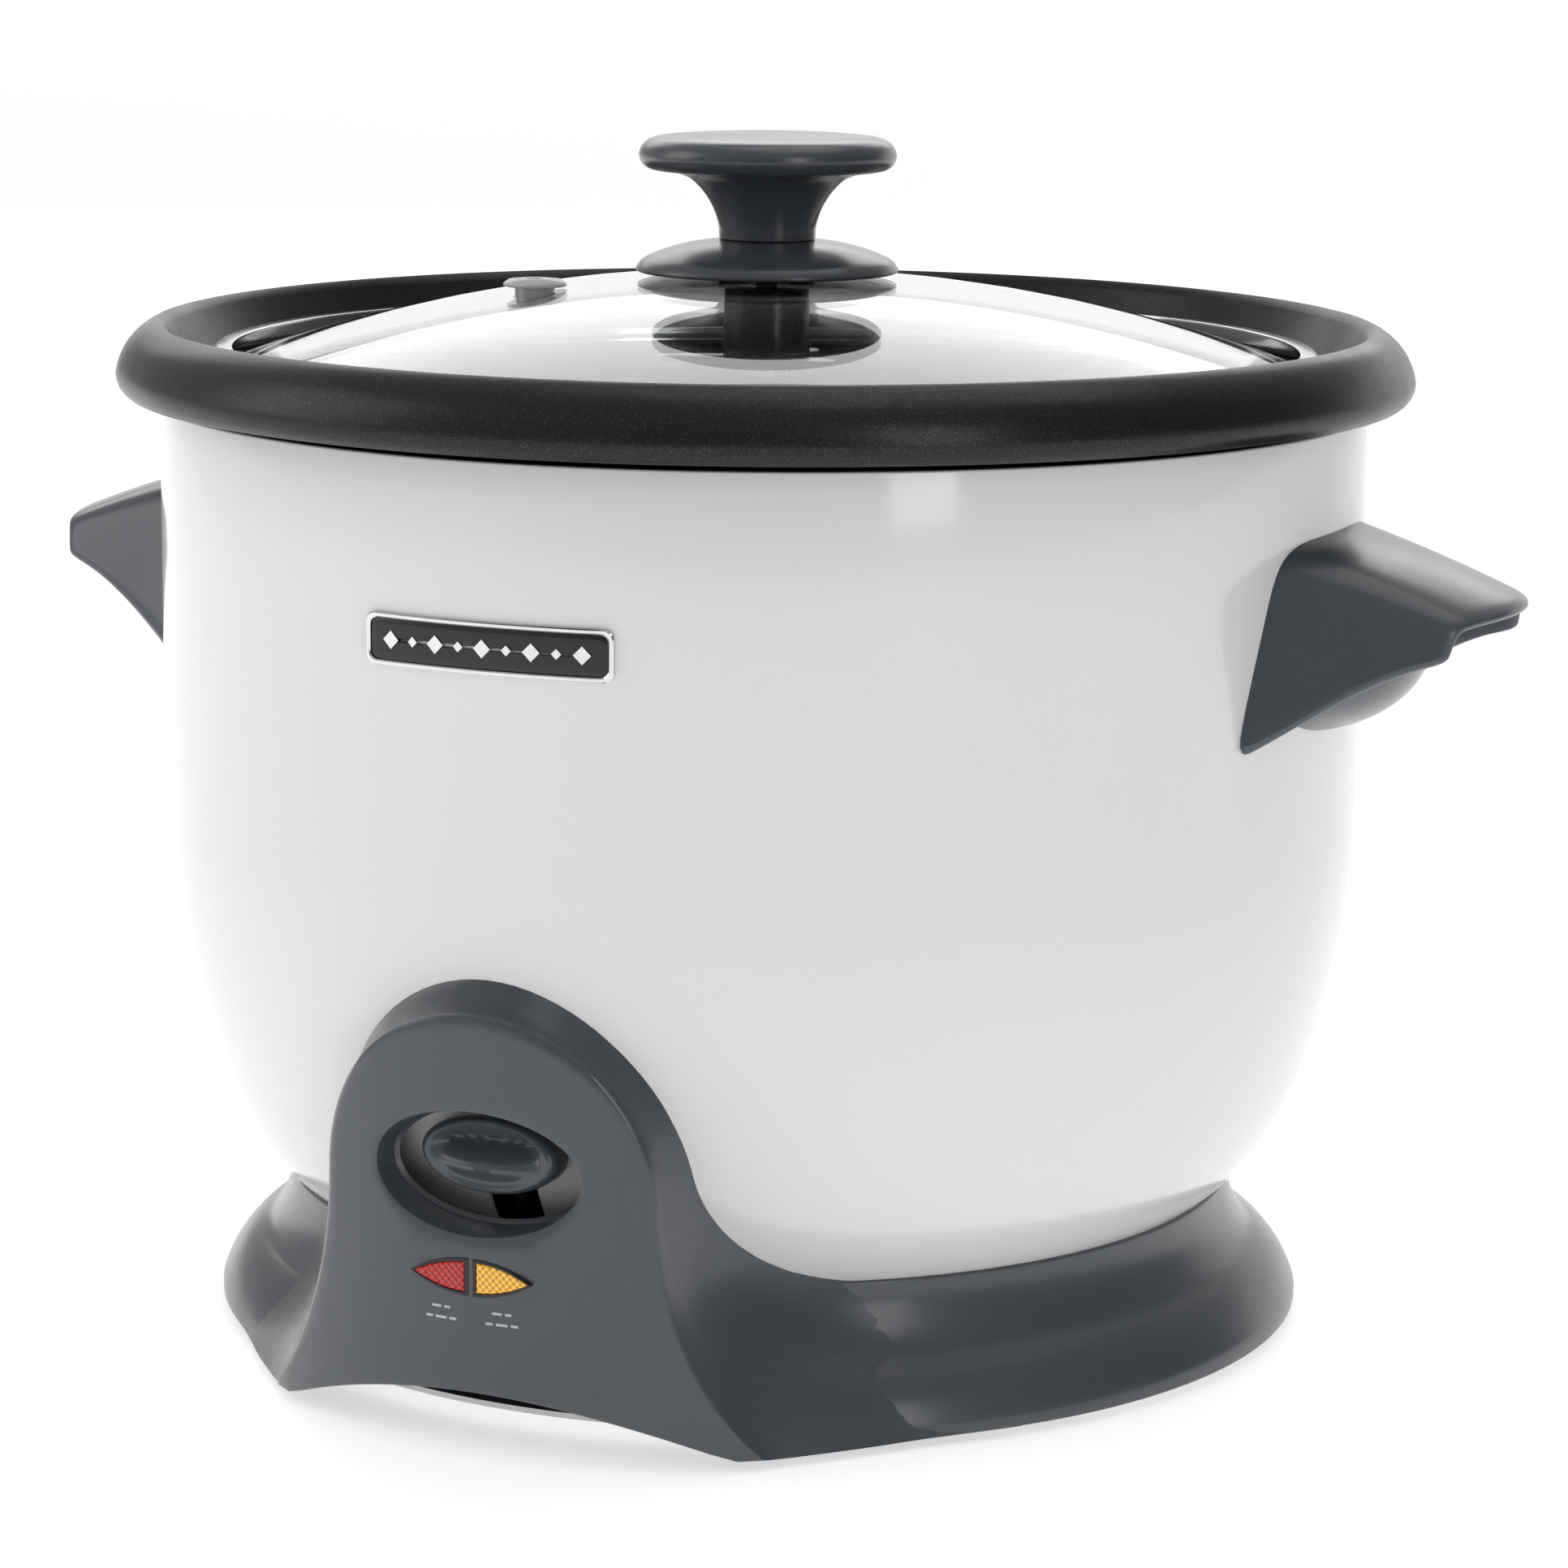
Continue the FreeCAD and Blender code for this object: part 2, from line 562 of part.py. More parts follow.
def make_panel_pieces():
    front = d.hood_front + 0.5
    for side, label in ((-1, "lens_cook"), (1, "lens_warm")):
        lens = padded(label, d.lens_thick, lens_corners(side, 0), plane="XZ_Plane",
                      offset=front - d.lens_thick)
        finish(lens, label)
    frames = []
    for side in (1, -1):
        frame = padded(f"bezel_frame{side}", d.lens_thick, lens_corners(side, d.bezel_edge),
                       plane="XZ_Plane", offset=front - d.lens_thick - 0.3)
        window = padded(f"bezel_window{side}", d.lens_thick + 4, lens_corners(side, 0.05),
                        plane="XZ_Plane", offset=front - d.lens_thick - 2)
        frames.append(cut(f"bezel{side}", frame, window))
    finish(group("lens_bezels", frames), "lens_bezels")
    lamp_front = -(front - d.lens_thick - 1)
    for side, label in ((-1, "lamp_cook"), (1, "lamp_warm")):
        lamp = lying(label, d.lamp_radius, d.lamp_length, side * d.lamp_spacing,
                     lamp_front, d.lens_height)
        finish(lamp, label)
    plate = block("holder_plate", d.lamp_spacing * 2 + 12, 2, 10, x=-(d.lamp_spacing + 6),
                  y=lamp_front + d.lamp_length - 3, z=d.lens_height - 5)
    holes = [lying(f"holder_hole{side}", d.lamp_radius + 0.05, 6, side * d.lamp_spacing,
                   lamp_front + d.lamp_length - 5, d.lens_height) for side in (1, -1)]
    finish(cut("lamp_holder", plate, fuse("holder_holes", *holes)), "lamp_holder")


def make_badge():
    half, rise, middle = d.badge_half, d.badge_rise, d.badge_height
    low, high = middle - rise, middle + rise

    def curved(name, inset, thick):
        slab = block(name + "_slab", (half - inset) * 2, 30, (rise - inset) * 2,
                     x=-(half - inset), y=-d.shell_radius - 10, z=low + inset)
        outside = cylinder(name + "_outside", d.shell_radius + 0.05 + thick, high - low, z=low)
        inside = cylinder(name + "_inside", d.shell_radius + 0.05, high - low + 2, z=low - 1)
        return cut(name + "_curve", common(name + "_face", slab, outside), inside)

    frame_hole = curved("frame_hole", d.badge_edge, d.badge_thick + 1)
    finish(cut("badge_frame", curved("frame", as_size(0), d.badge_thick), frame_hole), "badge_frame")
    pins = [lying(f"badge_pin{side}", 1.2, 5, side * 20, -d.shell_radius, middle) for side in (1, -1)]
    plate = fuse("badge_plate", curved("plate", d.badge_edge + 0.05, d.badge_thick - 0.4), *pins)
    finish(plate, "badge_plate")


# ---------------------------------------------------------------- handles


def handle_outline(half, low, shoulder, shoulder_height, top, high, corner):
    """An arch seen along X: two sides, two round shoulders and a flat top."""
    return [(half, low), (shoulder, shoulder_height, corner, 1), (top, high), (-top, high, corner, 1),
            (-shoulder, shoulder_height), (-half, low)]


def handle_body(name):
    wall = d.handle_wall
    body = new_body(name)
    lofted(body, name + "_outside", "YZ_Plane", [
        (d.handle_root, handle_outline(d.handle_half, d.handle_low, d.shoulder_half, d.shoulder_low,
                                       d.top_half, d.handle_high, 14)),
        (d.handle_tip, handle_outline(d.lip_half, d.lip_low, d.lip_half - 0.5, d.lip_low + 2,
                                      d.lip_half - 6, d.lip_high, 7))])
    lofted(body, name + "_inside", "YZ_Plane", [
        (d.handle_root - 1, handle_outline(d.handle_half - wall, d.handle_low - 4,
                                           d.shoulder_half - wall, d.shoulder_low - 1,
                                           d.top_half - wall, d.handle_high - wall, 14)),
        (d.handle_tip + 1, handle_outline(d.lip_half - wall, d.lip_low - 6, d.lip_half - 0.5 - wall,
                                          d.lip_low - 1, d.lip_half - 6 - wall,
                                          d.lip_high - wall, 7))], removing=True)
    lofted(body, name + "_web", "YZ_Plane", [
        (d.handle_root, handle_outline(d.handle_half - 0.2, d.handle_low, d.shoulder_half - 0.2,
                                       d.shoulder_low - 1, d.top_half - 1, d.handle_high - 1, 14)),
        (d.web_reach, handle_outline(d.shoulder_half - 6, d.web_low, d.shoulder_half - 7,
                                     d.shoulder_low - 5, d.top_half - 2, d.handle_high - 8, 12))])
    return body


def make_handles():
    for side, label in ((1, "handle_right"), (-1, "handle_left")):
        turn = 0 if side > 0 else 180
        plan = cylinder(label + "_plan", d.lip_turn, 80, x=d.handle_tip - d.lip_turn, z=d.handle_low - 10)
        trimmed = common(label + "_trimmed", handle_body(label + "_hood"), plan)
        tools = [cylinder(label + "_shell", d.shell_radius + 0.05, 90, z=d.handle_low - 20)]
        for screw_side in (1, -1):
            tools.append(lying(f"{label}_pilot{screw_side}", d.pilot_radius, 12, d.shell_radius - 4,
                               screw_side * d.handle_screw_y, d.handle_screw_z, toward="x"))
        whole = cut(label, trimmed, fuse(label + "_cuts", *tools))
        finish(put(whole, axis=(0, 0, 1), angle=turn), label)
    screws = []
    seat = reach(d.shell_radius - d.shell_wall, d.handle_screw_y) - 0.4
    for side, toward in ((1, "+x"), (-1, "-x")):
        for y_side in (1, -1):
            name = f"handle_screw{side}{y_side}".replace("-", "m")
            screws.append(screw(name, side * seat, y_side * d.handle_screw_y, d.handle_screw_z, 9,
                                d.pilot_radius - 0.05, toward=toward))
    finish(group("handle_screws", screws), "handle_screws")


# ---------------------------------------------------------------- pot and lid


def make_pot():
    wall, corner = d.pot_wall, d.pot_corner
    radius, inner = d.pot_radius, d.pot_radius - d.pot_wall
    inner_corner = corner - wall
    pot = turned("inner_pot", [
        (0, d.pot_floor), (radius - corner, d.pot_floor, corner, 1),
        (radius, d.pot_floor + corner),
        (radius, d.ledge_height), (d.ledge_radius, d.ledge_height),
        (d.ridge_radius, d.ridge_height - wall),
        (d.rim_radius - wall, d.rim_height, d.curl_radius - d.ridge_radius, -1),
        (d.curl_radius - 0.8, d.curl_height),
        (d.curl_radius, d.curl_height, d.curl_radius - d.ridge_radius + wall, 1),
        (d.rim_radius, d.rim_height, 14, 1),
        (d.ridge_radius + 1.2, d.ridge_height, 2.4, 1),
        (d.ridge_radius - 1.2, d.ridge_height - 0.6),
        (d.ledge_radius - wall, d.ledge_height + wall),
        (inner, d.ledge_height + wall),
        (inner, d.pot_floor + corner, inner_corner, -1),
        (radius - corner, d.pot_floor + wall), (0, d.pot_floor + wall)])
    finish(pot, "inner_pot")


def make_lid():
    glass, thick = d.glass_radius, d.glass_thick
    rise = d.glass_centre - d.glass_edge
    dome = (glass * glass + rise * rise) / (rise * 2)
    hole_height = d.glass_centre - dome + reach(dome, d.lid_hole)
    under = turned("glass_dome", [
        (d.lid_hole, hole_height - thick), (glass, d.glass_edge - thick + 2),
        (glass, d.glass_edge, dome, 1), (d.lid_hole, hole_height)])
    hollow = turned("glass_hollow", [
        (0, d.glass_edge - thick - 4), (glass - 4, d.glass_edge - thick - 4),
        (glass - 4, d.glass_edge - thick + 1.2, dome, 1), (0, d.glass_centre - thick)])
    vent = cylinder("vent_cut", d.grommet_radius - 2.5, 40, x=d.vent_x, y=d.vent_y, z=200)
    finish(cut("lid_glass", cut("glass_shell", under, hollow), vent), "lid_glass")
    band, wall, lap = d.band_radius, d.band_wall, d.band_lap
    finish(turned("lid_band", [
        (band - lap, d.band_low), (band, d.band_low), (band, d.band_high),
        (band - lap, d.band_high), (band - lap, d.band_high - wall),
        (band - wall, d.band_high - wall), (band - wall, d.band_low + wall),
        (band - lap, d.band_low + wall)]), "lid_band")


def make_knob():
    flange_top, neck = d.flange_high, d.neck_radius
    bore = d.lid_screw_radius + 0.05
    finish(turned("knob_flange", [
        (bore, d.flange_low + 1.6), (d.flange_radius - 6, d.flange_low + 0.8),
        (d.flange_radius, d.flange_low), (d.flange_radius, d.flange_low + 1.2, 40, 1),
        (neck, flange_top), (bore, flange_top)]), "knob_flange")
    knob = d.knob_radius
    finish(turned("lid_knob", [
        (0, flange_top + 4), (bore, flange_top + 4), (bore, flange_top + 0.05),
        (neck, flange_top + 0.05), (neck, flange_top + 2, 26, -1),
        (neck + 6, d.knob_under - 1.6, 9, -1), (knob - 3.5, d.knob_under, 4, 1),
        (knob, d.knob_under + 3, 6, 1), (knob - 2.5, d.knob_top - 0.8), (knob - 6, d.knob_top),
        (0, d.knob_top)]), "lid_knob")
    finish(turned("knob_gasket", [
        (bore, d.glass_centre + 0.05), (neck, d.glass_centre - 0.05),
        (neck, d.glass_centre + d.gasket_thick), (bore, d.glass_centre + d.gasket_thick)]),
        "knob_gasket")
    barrel = cylinder("nut_barrel", d.nut_radius, d.nut_top - d.nut_low, z=d.nut_low)
    wings = []
    for index in range(3):
        wing = ellipse_wing(f"nut_wing{index}", 90 + 120 * index)
        wings.append(wing)
    nut_bore = cylinder("nut_bore", bore, d.nut_top - d.nut_low + 2, z=d.nut_low - 1)
    finish(cut("wing_nut", fuse("nut_solid", barrel, *wings), nut_bore), "wing_nut")
    length = d.flange_high + 3.5 - d.nut_low
    finish(screw("knob_screw", 0, 0, d.nut_low - 0.05, length, d.lid_screw_radius), "knob_screw")


def ellipse_wing(name, degrees):
    """One leaf of the nut under the glass."""
    half = (d.wing_reach - d.nut_radius + 3) / 2
    ring = bind(doc.addObject("Part::Ellipse", name + "_ring"), MajorRadius=half, MinorRadius=half * 0.55)
    leaf = doc.addObject("Part::Extrusion", name)
    leaf.Base = ring
    leaf.DirMode = "Custom"
    leaf.Dir = FreeCAD.Vector(0, 0, 1)
    leaf.Solid = True
    bind(leaf, LengthFwd=d.wing_thick)
    turn = math.radians(degrees)
    centre = d.wing_reach - half
    return put(leaf, x=centre * math.cos(turn), y=centre * math.sin(turn), z=d.nut_low, angle=degrees)


def make_grommet():
    """The steam vent: a soft ring with a groove that grips the glass."""
    offset = root(d.vent_x * d.vent_x + d.vent_y * d.vent_y)
    rise = d.glass_centre - d.glass_edge
    dome = (d.glass_radius * d.glass_radius + rise * rise) / (rise * 2)
    top = d.glass_centre - dome + reach(dome, offset)
    body = turned("grommet_ring", [
        (d.grommet_bore, -1.9 - d.glass_thick), (d.grommet_radius - 1.5, -1.9 - d.glass_thick),
        (d.grommet_radius - 1.5, -1.1 - d.glass_thick), (d.grommet_radius - 2.6, -1.1 - d.glass_thick),
        (d.grommet_radius - 2.6, 1.3), (d.grommet_radius, 1.3), (d.grommet_radius, 2.1),
        (d.grommet_radius - 1.6, 3.0), (d.grommet_bore, 3.0)])
    finish(put(body, x=d.vent_x, y=d.vent_y, z=top), "vent_grommet")


# ---------------------------------------------------------------- heater, sensor and magnets


def make_heater():
    plate = turned("plate_casting", [
        (d.plate_hole, d.plate_low), (d.plate_radius, d.plate_low),
        (d.plate_radius, d.plate_top - 2), (d.plate_radius - 2, d.plate_top),
        (d.plate_hole, d.plate_top)])
    groove = bind(doc.addObject("Part::Torus", "element_groove"), Radius1=d.element_radius,
                  Radius2=d.element_tube + 0.1)
    put(groove, z=d.plate_low)
    holes = [cylinder(f"plate_hole{index}", d.screw_radius + 0.05, 6, x=x, y=y, z=d.plate_low - 1)
             for index, (x, y) in enumerate(around(d.standoff_circle, 3, 90))]
    finish(cut("heating_plate", plate, fuse("plate_cuts", groove, *holes)), "heating_plate")
    ring = bind(doc.addObject("Part::Torus", "element_ring"), Radius1=d.element_radius,
                Radius2=d.element_tube)
    put(ring, z=d.plate_low)
    finish(ring, "heating_element")
    terminals = []
    pin_low = d.liner_floor - 1.8
    pin_high = d.plate_low - d.element_tube - 0.05
    for index, side in enumerate((1, -1)):
        x = side * d.element_radius
        pin = cylinder(f"terminal_pin{index}", 1.5, pin_high - pin_low, x=x, z=pin_low)
        tab = block(f"terminal_tab{index}", 6, 5, 0.8, x=x - 3, y=-2.5, z=pin_low - 0.8)
        terminals.append(fuse(f"terminal{index}", pin, tab))
    finish(group("element_terminals", terminals), "element_terminals")


def make_plate_mounts():
    low = d.liner_floor + d.liner_wall + 0.05
    sleeves = []
    for index, (x, y) in enumerate(around(d.standoff_circle, 3, 90)):
        tube = cylinder(f"standoff{index}", d.standoff_radius, d.plate_low - low - 0.05, x=x, y=y, z=low)
        bore = cylinder(f"standoff_bore{index}", d.screw_radius + 0.1, 12, x=x, y=y, z=low - 2)
        sleeves.append(cut(f"standoff_tube{index}", tube, bore))
    finish(group("plate_standoffs", sleeves), "plate_standoffs")
    screws = [screw(f"plate_screw{index}", x, y, d.liner_floor - 0.05, 11, d.screw_radius)
              for index, (x, y) in enumerate(around(d.standoff_circle, 3, 90))]
    finish(group("plate_screws", screws), "plate_screws")


def make_sensor():
    cup, wall = d.cup_radius, d.cup_wall
    finish(turned("sensor_cup", [
        (0, d.plate_top), (cup - 1, d.plate_top), (cup, d.plate_top - 1), (cup, d.cup_low),
        (cup - wall, d.cup_low), (cup - wall, d.plate_top - wall), (0, d.plate_top - wall)]),
        "sensor_cup")
    ferrite = cylinder("upper_magnet", d.ferrite_radius, d.ferrite_thick, z=d.ferrite_low)
    finish(ferrite, "upper_magnet")
    inner, outer = d.guide_bore, d.guide_bore + d.guide_wall
    flange, thick = d.guide_flange, d.guide_flange_thick
    finish(turned("magnet_guide", [
        (d.rod_radius + 0.1, d.guide_low), (flange, d.guide_low), (flange, d.guide_low + thick),
        (outer, d.guide_low + thick), (outer, d.guide_high), (inner, d.guide_high),
        (inner, d.guide_low + thick), (d.rod_radius + 0.1, d.guide_low + thick)]), "magnet_guide")
    low, span, thick = d.guide_low - 1.25, d.bridge_half, 1.2
    strap = block("bridge_strap", span * 2, 8, thick, x=-span, y=-4, z=low)
    posts = [block(f"bridge_post{index}", thick, 8, d.liner_floor - 0.05 - low, x=left, y=-4, z=low)
             for index, left in enumerate((span - thick, -span))]
    strap_hole = cylinder("bridge_hole", d.rod_radius + 0.6, 6, z=d.guide_low - 4)
    frame = fuse("bridge_solid", strap, *posts)
    finish(cut("guide_bridge", frame, strap_hole), "guide_bridge")
    finish(cylinder("lower_magnet", d.magnet_radius, d.magnet_thick, z=d.magnet_low), "lower_magnet")
    finish(cylinder("magnet_rod", d.rod_radius, d.magnet_low - d.rod_low - 0.05, z=d.rod_low), "magnet_rod")
    spring = coil("sensor_spring", d.sensor_spring_radius, d.sensor_spring_wire / 2,
                  d.guide_low + d.guide_flange_thick + 0.05, d.plate_top - wall - 0.05, turns=5)
    finish(spring, "sensor_spring")


# ---------------------------------------------------------------- lever


def make_lever():
    back, height = d.pivot_back, d.pivot_height
    tab_back = -(d.hood_front - d.recess_depth) - d.tab_gap
    outline = [
        (3, d.arm_low), (3, d.arm_high), (-back + 8, height + 4), (-106, height + 5),
        (-119.5, d.tab_height - 4), (tab_back - 1, d.tab_height - 1),
        (tab_back - 1, d.tab_height - 6), (-121.5, d.tab_height - 8),
        (-108, height - 1), (-back - 4, height - 3.2), (-back + 4, height - 3.2)]
    arm = padded("arm_strip", d.arm_half * 2, outline, plane="YZ_Plane", offset=-d.arm_half)
    striker = block("striker", d.striker_reach, 4, 1.2, x=-d.arm_half, y=-d.striker_back - 2,
                    z=d.striker_low)
    stem = block("striker_stem", d.arm_half * 2, 4, d.striker_low + 1 - height, x=-d.arm_half,
                 y=-d.striker_back - 2, z=height)
    hole = lying("pivot_hole", d.pin_radius + d.running_gap, 10, -5, -back, height, toward="x")
    finish(cut("lever_arm", fuse("arm_solid", arm, striker, stem), hole), "lever_arm")

    tab = ellipse_prism("tab_oval", d.tab_half, d.tab_rise, d.tab_thick, y=tab_back, z=d.tab_height)
    socket = block("tab_socket", d.arm_half * 2 + 0.1, 3, 6, x=-d.arm_half - 0.05, y=tab_back - 1.05,
                   z=d.tab_height - 6.5)
    finish(cut("lever_tab", tab, socket), "lever_tab")
    pin = lying("lever_pin", d.pin_radius, d.pin_half * 2, -d.pin_half, -back, height, toward="x")
    finish(pin, "lever_pin")

    floor = shell_arcs().lower_z - d.lower_arc + d.shell_wall + 0.05
    inner = d.arm_half + d.cheek_gap
    plates = [block("bracket_floor", (inner + d.cheek_thick) * 2, d.cheek_length, d.cheek_thick,
                    x=-(inner + d.cheek_thick), y=-back - d.cheek_length / 2 + 2, z=floor)]
    for side in (1, -1):
        left = inner if side > 0 else -(inner + d.cheek_thick)
        plates.append(block(f"cheek{side}", d.cheek_thick, d.cheek_length, d.cheek_high - floor, x=left,
                            y=-back - d.cheek_length / 2 + 2, z=floor))
    bore = lying("cheek_bore", d.pin_radius + 0.02, 30, -15, -back, height, toward="x")
    finish(cut("lever_bracket", fuse("bracket_solid", *plates), bore), "lever_bracket")
    spring = coil("lever_spring", d.lever_spring_radius, d.lever_spring_wire / 2, d.lever_spring_low,
                  d.lever_spring_high, turns=2, y=-d.lever_spring_y)
    finish(spring, "lever_spring")


# ---------------------------------------------------------------- wiring


def make_electrics():
    floor = shell_arcs().lower_z - d.lower_arc + d.shell_wall + 0.05
    body = block("switch_case", d.switch_x, d.switch_y, d.switch_z - 0.1, x=d.switch_left,
                 y=-d.switch_front, z=floor)
    plunger_x = d.switch_left + d.switch_x / 2
    bore = cylinder("switch_bore", d.plunger_radius + 0.05, 8, x=plunger_x, y=-d.striker_back,
                    z=floor + d.switch_z - 6)
    finish(cut("microswitch", body, bore), "microswitch")
    top = d.striker_low - 0.1
    finish(cylinder("switch_plunger", d.plunger_radius, top - floor - d.switch_z + 5, x=plunger_x,
                    y=-d.striker_back, z=floor + d.switch_z - 5), "switch_plunger")

    case = block("block_case", d.block_x, d.block_y, d.block_z, x=-d.block_x / 2, y=d.block_back, z=floor)
    wells = [cylinder(f"block_well{index}", 2.2, 5, x=(index - 1) * 9, y=d.block_back + d.block_y / 2,
                      z=floor + d.block_z - 4) for index in range(3)]
    finish(cut("terminal_block", case, fuse("block_wells", *wells)), "terminal_block")
    screws = [cylinder(f"block_screw{index}", 2.0, 3, x=(index - 1) * 9,
                       y=d.block_back + d.block_y / 2, z=floor + d.block_z - 3.8)
              for index in range(3)]
    finish(group("block_screws", screws), "block_screws")

    barrel = lying("gland_barrel", d.gland_radius, 16, 0, 108, d.gland_height)
    collar = lying("gland_collar", d.gland_flange, 3, 0, d.skirt_radius - 1.5, d.gland_height)
    gland_bore = lying("gland_bore", d.gland_bore, 40, 0, 100, d.gland_height)
    finish(cut("cord_gland", fuse("gland_solid", barrel, collar), gland_bore), "cord_gland")

    fuse_case = lying("thermal_fuse", d.fuse_radius, d.fuse_length, -d.fuse_length / 2, 32,
                      d.plate_low - d.fuse_radius - 0.05, toward="x")
    finish(fuse_case, "thermal_fuse")
    warmer = block("warm_heater", d.warmer_x, d.warmer_y, d.warmer_z, x=-d.warmer_x / 2,
                   y=-d.warmer_back - d.warmer_y / 2 - 12, z=d.liner_floor + d.liner_wall + 0.05)
    finish(warmer, "warm_heater")


def make_wires():
    """Two leads from the terminal block to the ends of the element."""
    runs = []
    for index, side in enumerate((1, -1)):
        start = FreeCAD.Vector(side * (d.block_x.number / 2 + 3), d.block_back.number + 3, 27)
        corner = FreeCAD.Vector(side * (d.element_radius.number - 4), 30, 34)
        stop = FreeCAD.Vector(side * (d.element_radius.number - 2), 4, 39.4)
        runs.append(wire_run(f"wire{index}", [start, corner, stop]))
    finish(group("lead_wires", runs), "lead_wires")


def wire_run(name, points):
    """A bent wire of straight runs and one tangent arc, as a computed solid."""
    start, corner, stop = points
    before, after = (corner - start).normalize(), (stop - corner).normalize()
    turn = before.getAngle(after)
    shorter = min((corner - start).Length, (stop - corner).Length)
    back = 0.45 * shorter
    first, last = corner - before * back, corner + after * back
    bend = back / math.tan(turn / 2)
    inward = (after - before).normalize()
    centre = corner + inward * math.hypot(bend, back)
    middle = centre - inward * bend
    path = Part.Wire([Part.LineSegment(start, first).toShape(), Part.Arc(first, middle, last).toShape(),
                      Part.LineSegment(last, stop).toShape()])
    ring = Part.Wire(Part.Circle(start, before, d.wire_radius.number).toShape())
    solid = Part.Wire(path).makePipeShell([ring], True, True)
    thing = doc.addObject("Part::Feature", name)
    thing.Shape = solid
    return thing


# ---------------------------------------------------------------- build, check and write

make_outer_shell()
make_inner_liner()
make_base_housing()
make_bottom()
make_panel_pieces()
make_badge()
make_handles()
make_pot()
make_lid()
make_knob()
make_grommet()
make_heater()
make_plate_mounts()
make_sensor()
make_lever()
make_electrics()
make_wires()
doc.recompute()

for thing in doc.Objects:
    if "Invalid" in thing.State or "Error" in thing.State:
        raise RuntimeError(f"{thing.Name} failed: {thing.State}")
os.makedirs("parts", exist_ok=True)
for thing in FINISHED:
    shape = thing.Shape
    if shape.isNull() or not shape.isValid() or not shape.Solids:
        raise RuntimeError(f"{thing.Label} has no valid solid")
for thing in FINISHED:
    thing.Shape.exportStep(f"parts/{thing.Label}.step")
    print(f"{thing.Label}: {len(thing.Shape.Solids)} solid(s), {thing.Shape.Volume:.0f} mm3")
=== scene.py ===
# %% [markdown]
# # A rice cooker, finished for the camera
# The CAD model gives every dimension and every moving body. This script loads it as a fixed
# frame, makes the pieces that show in finer detail, and gives every piece a procedural finish.

# %% Load the frame
import json
import math

import bmesh
import bpy
from mathutils import Matrix, Vector


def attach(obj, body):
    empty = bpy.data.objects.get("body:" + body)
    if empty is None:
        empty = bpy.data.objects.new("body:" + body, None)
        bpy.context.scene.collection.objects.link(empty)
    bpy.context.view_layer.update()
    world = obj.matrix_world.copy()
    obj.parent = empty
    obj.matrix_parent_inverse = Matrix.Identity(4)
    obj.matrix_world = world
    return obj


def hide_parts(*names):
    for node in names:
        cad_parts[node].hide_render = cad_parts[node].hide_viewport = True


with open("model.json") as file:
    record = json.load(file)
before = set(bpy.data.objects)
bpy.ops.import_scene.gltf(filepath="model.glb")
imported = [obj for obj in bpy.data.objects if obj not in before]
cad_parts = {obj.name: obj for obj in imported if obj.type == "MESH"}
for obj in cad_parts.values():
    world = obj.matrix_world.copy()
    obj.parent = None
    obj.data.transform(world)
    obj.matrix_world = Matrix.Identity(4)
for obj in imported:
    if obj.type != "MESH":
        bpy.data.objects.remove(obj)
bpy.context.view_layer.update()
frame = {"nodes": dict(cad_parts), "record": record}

MM = 0.001
FINE_STEPS, BAND_STEPS, KNOB_STEPS, SMALL_STEPS = 192, 144, 96, 64

# %% [markdown]
# ## Camera
# A long lens a little above the rim keeps the sides of the body nearly parallel. The camera
# stands to the right of the panel, so both handles and the whole panel show.

# %% Camera
camera_data = bpy.data.cameras.new("studio_camera")
camera_data.sensor_width = 36.0
camera_data.lens = 111.8
camera_data.clip_end = 50.0
camera = bpy.data.objects.new("studio_camera", camera_data)
camera.location = (0.4526, -0.9860, 0.3267)
camera.rotation_euler = (math.radians(79.1), math.radians(-0.5), math.radians(24.5))
bpy.context.scene.collection.objects.link(camera)
bpy.context.scene.camera = camera
print("camera at", tuple(camera.location))

# %% [markdown]
# ## Studio
# White enamel shows its shape only by soft changes of tone, so the room is one pale sweep with
# large soft lamps: a key from the left, a weaker fill from the right, one from above and one
# behind, which the glass lid mirrors.

# %% Floor and backdrop
FLOOR_LEFT, FLOOR_WIDTH = -9.0, 15.0
SWEEP = [(-4.0, 0.0), (8.0, 0.0), (9.0, 0.1), (9.6, 0.7), (9.8, 4.0)]


def verts_in(geom):
    """The vertices among what an operator gives back."""
    return [item for item in geom if isinstance(item, bmesh.types.BMVert)]


def make_backdrop():
    """A pale sweep: a floor that curves up into a wall."""
    bm = bmesh.new()
    line = [bm.verts.new((FLOOR_LEFT, y, z)) for y, z in SWEEP]
    edges = [bm.edges.new(pair) for pair in zip(line, line[1:])]
    swept = bmesh.ops.extrude_edge_only(bm, edges=edges)["geom"]
    bmesh.ops.translate(bm, verts=verts_in(swept), vec=(FLOOR_WIDTH, 0, 0))
    bmesh.ops.recalc_face_normals(bm, faces=bm.faces)
    mesh = bpy.data.meshes.new("backdrop")
    bm.to_mesh(mesh)
    bm.free()
    mesh.shade_smooth()
    sweep = bpy.data.objects.new("backdrop", mesh)
    bpy.context.scene.collection.objects.link(sweep)
    bend = sweep.modifiers.new("round", "SUBSURF")
    bend.levels = bend.render_levels = 3
    return sweep


backdrop = make_backdrop()
print("backdrop:", len(backdrop.data.polygons), "faces before smoothing")

# %% Lamps
AIM = Vector((0, 0, 0.12))


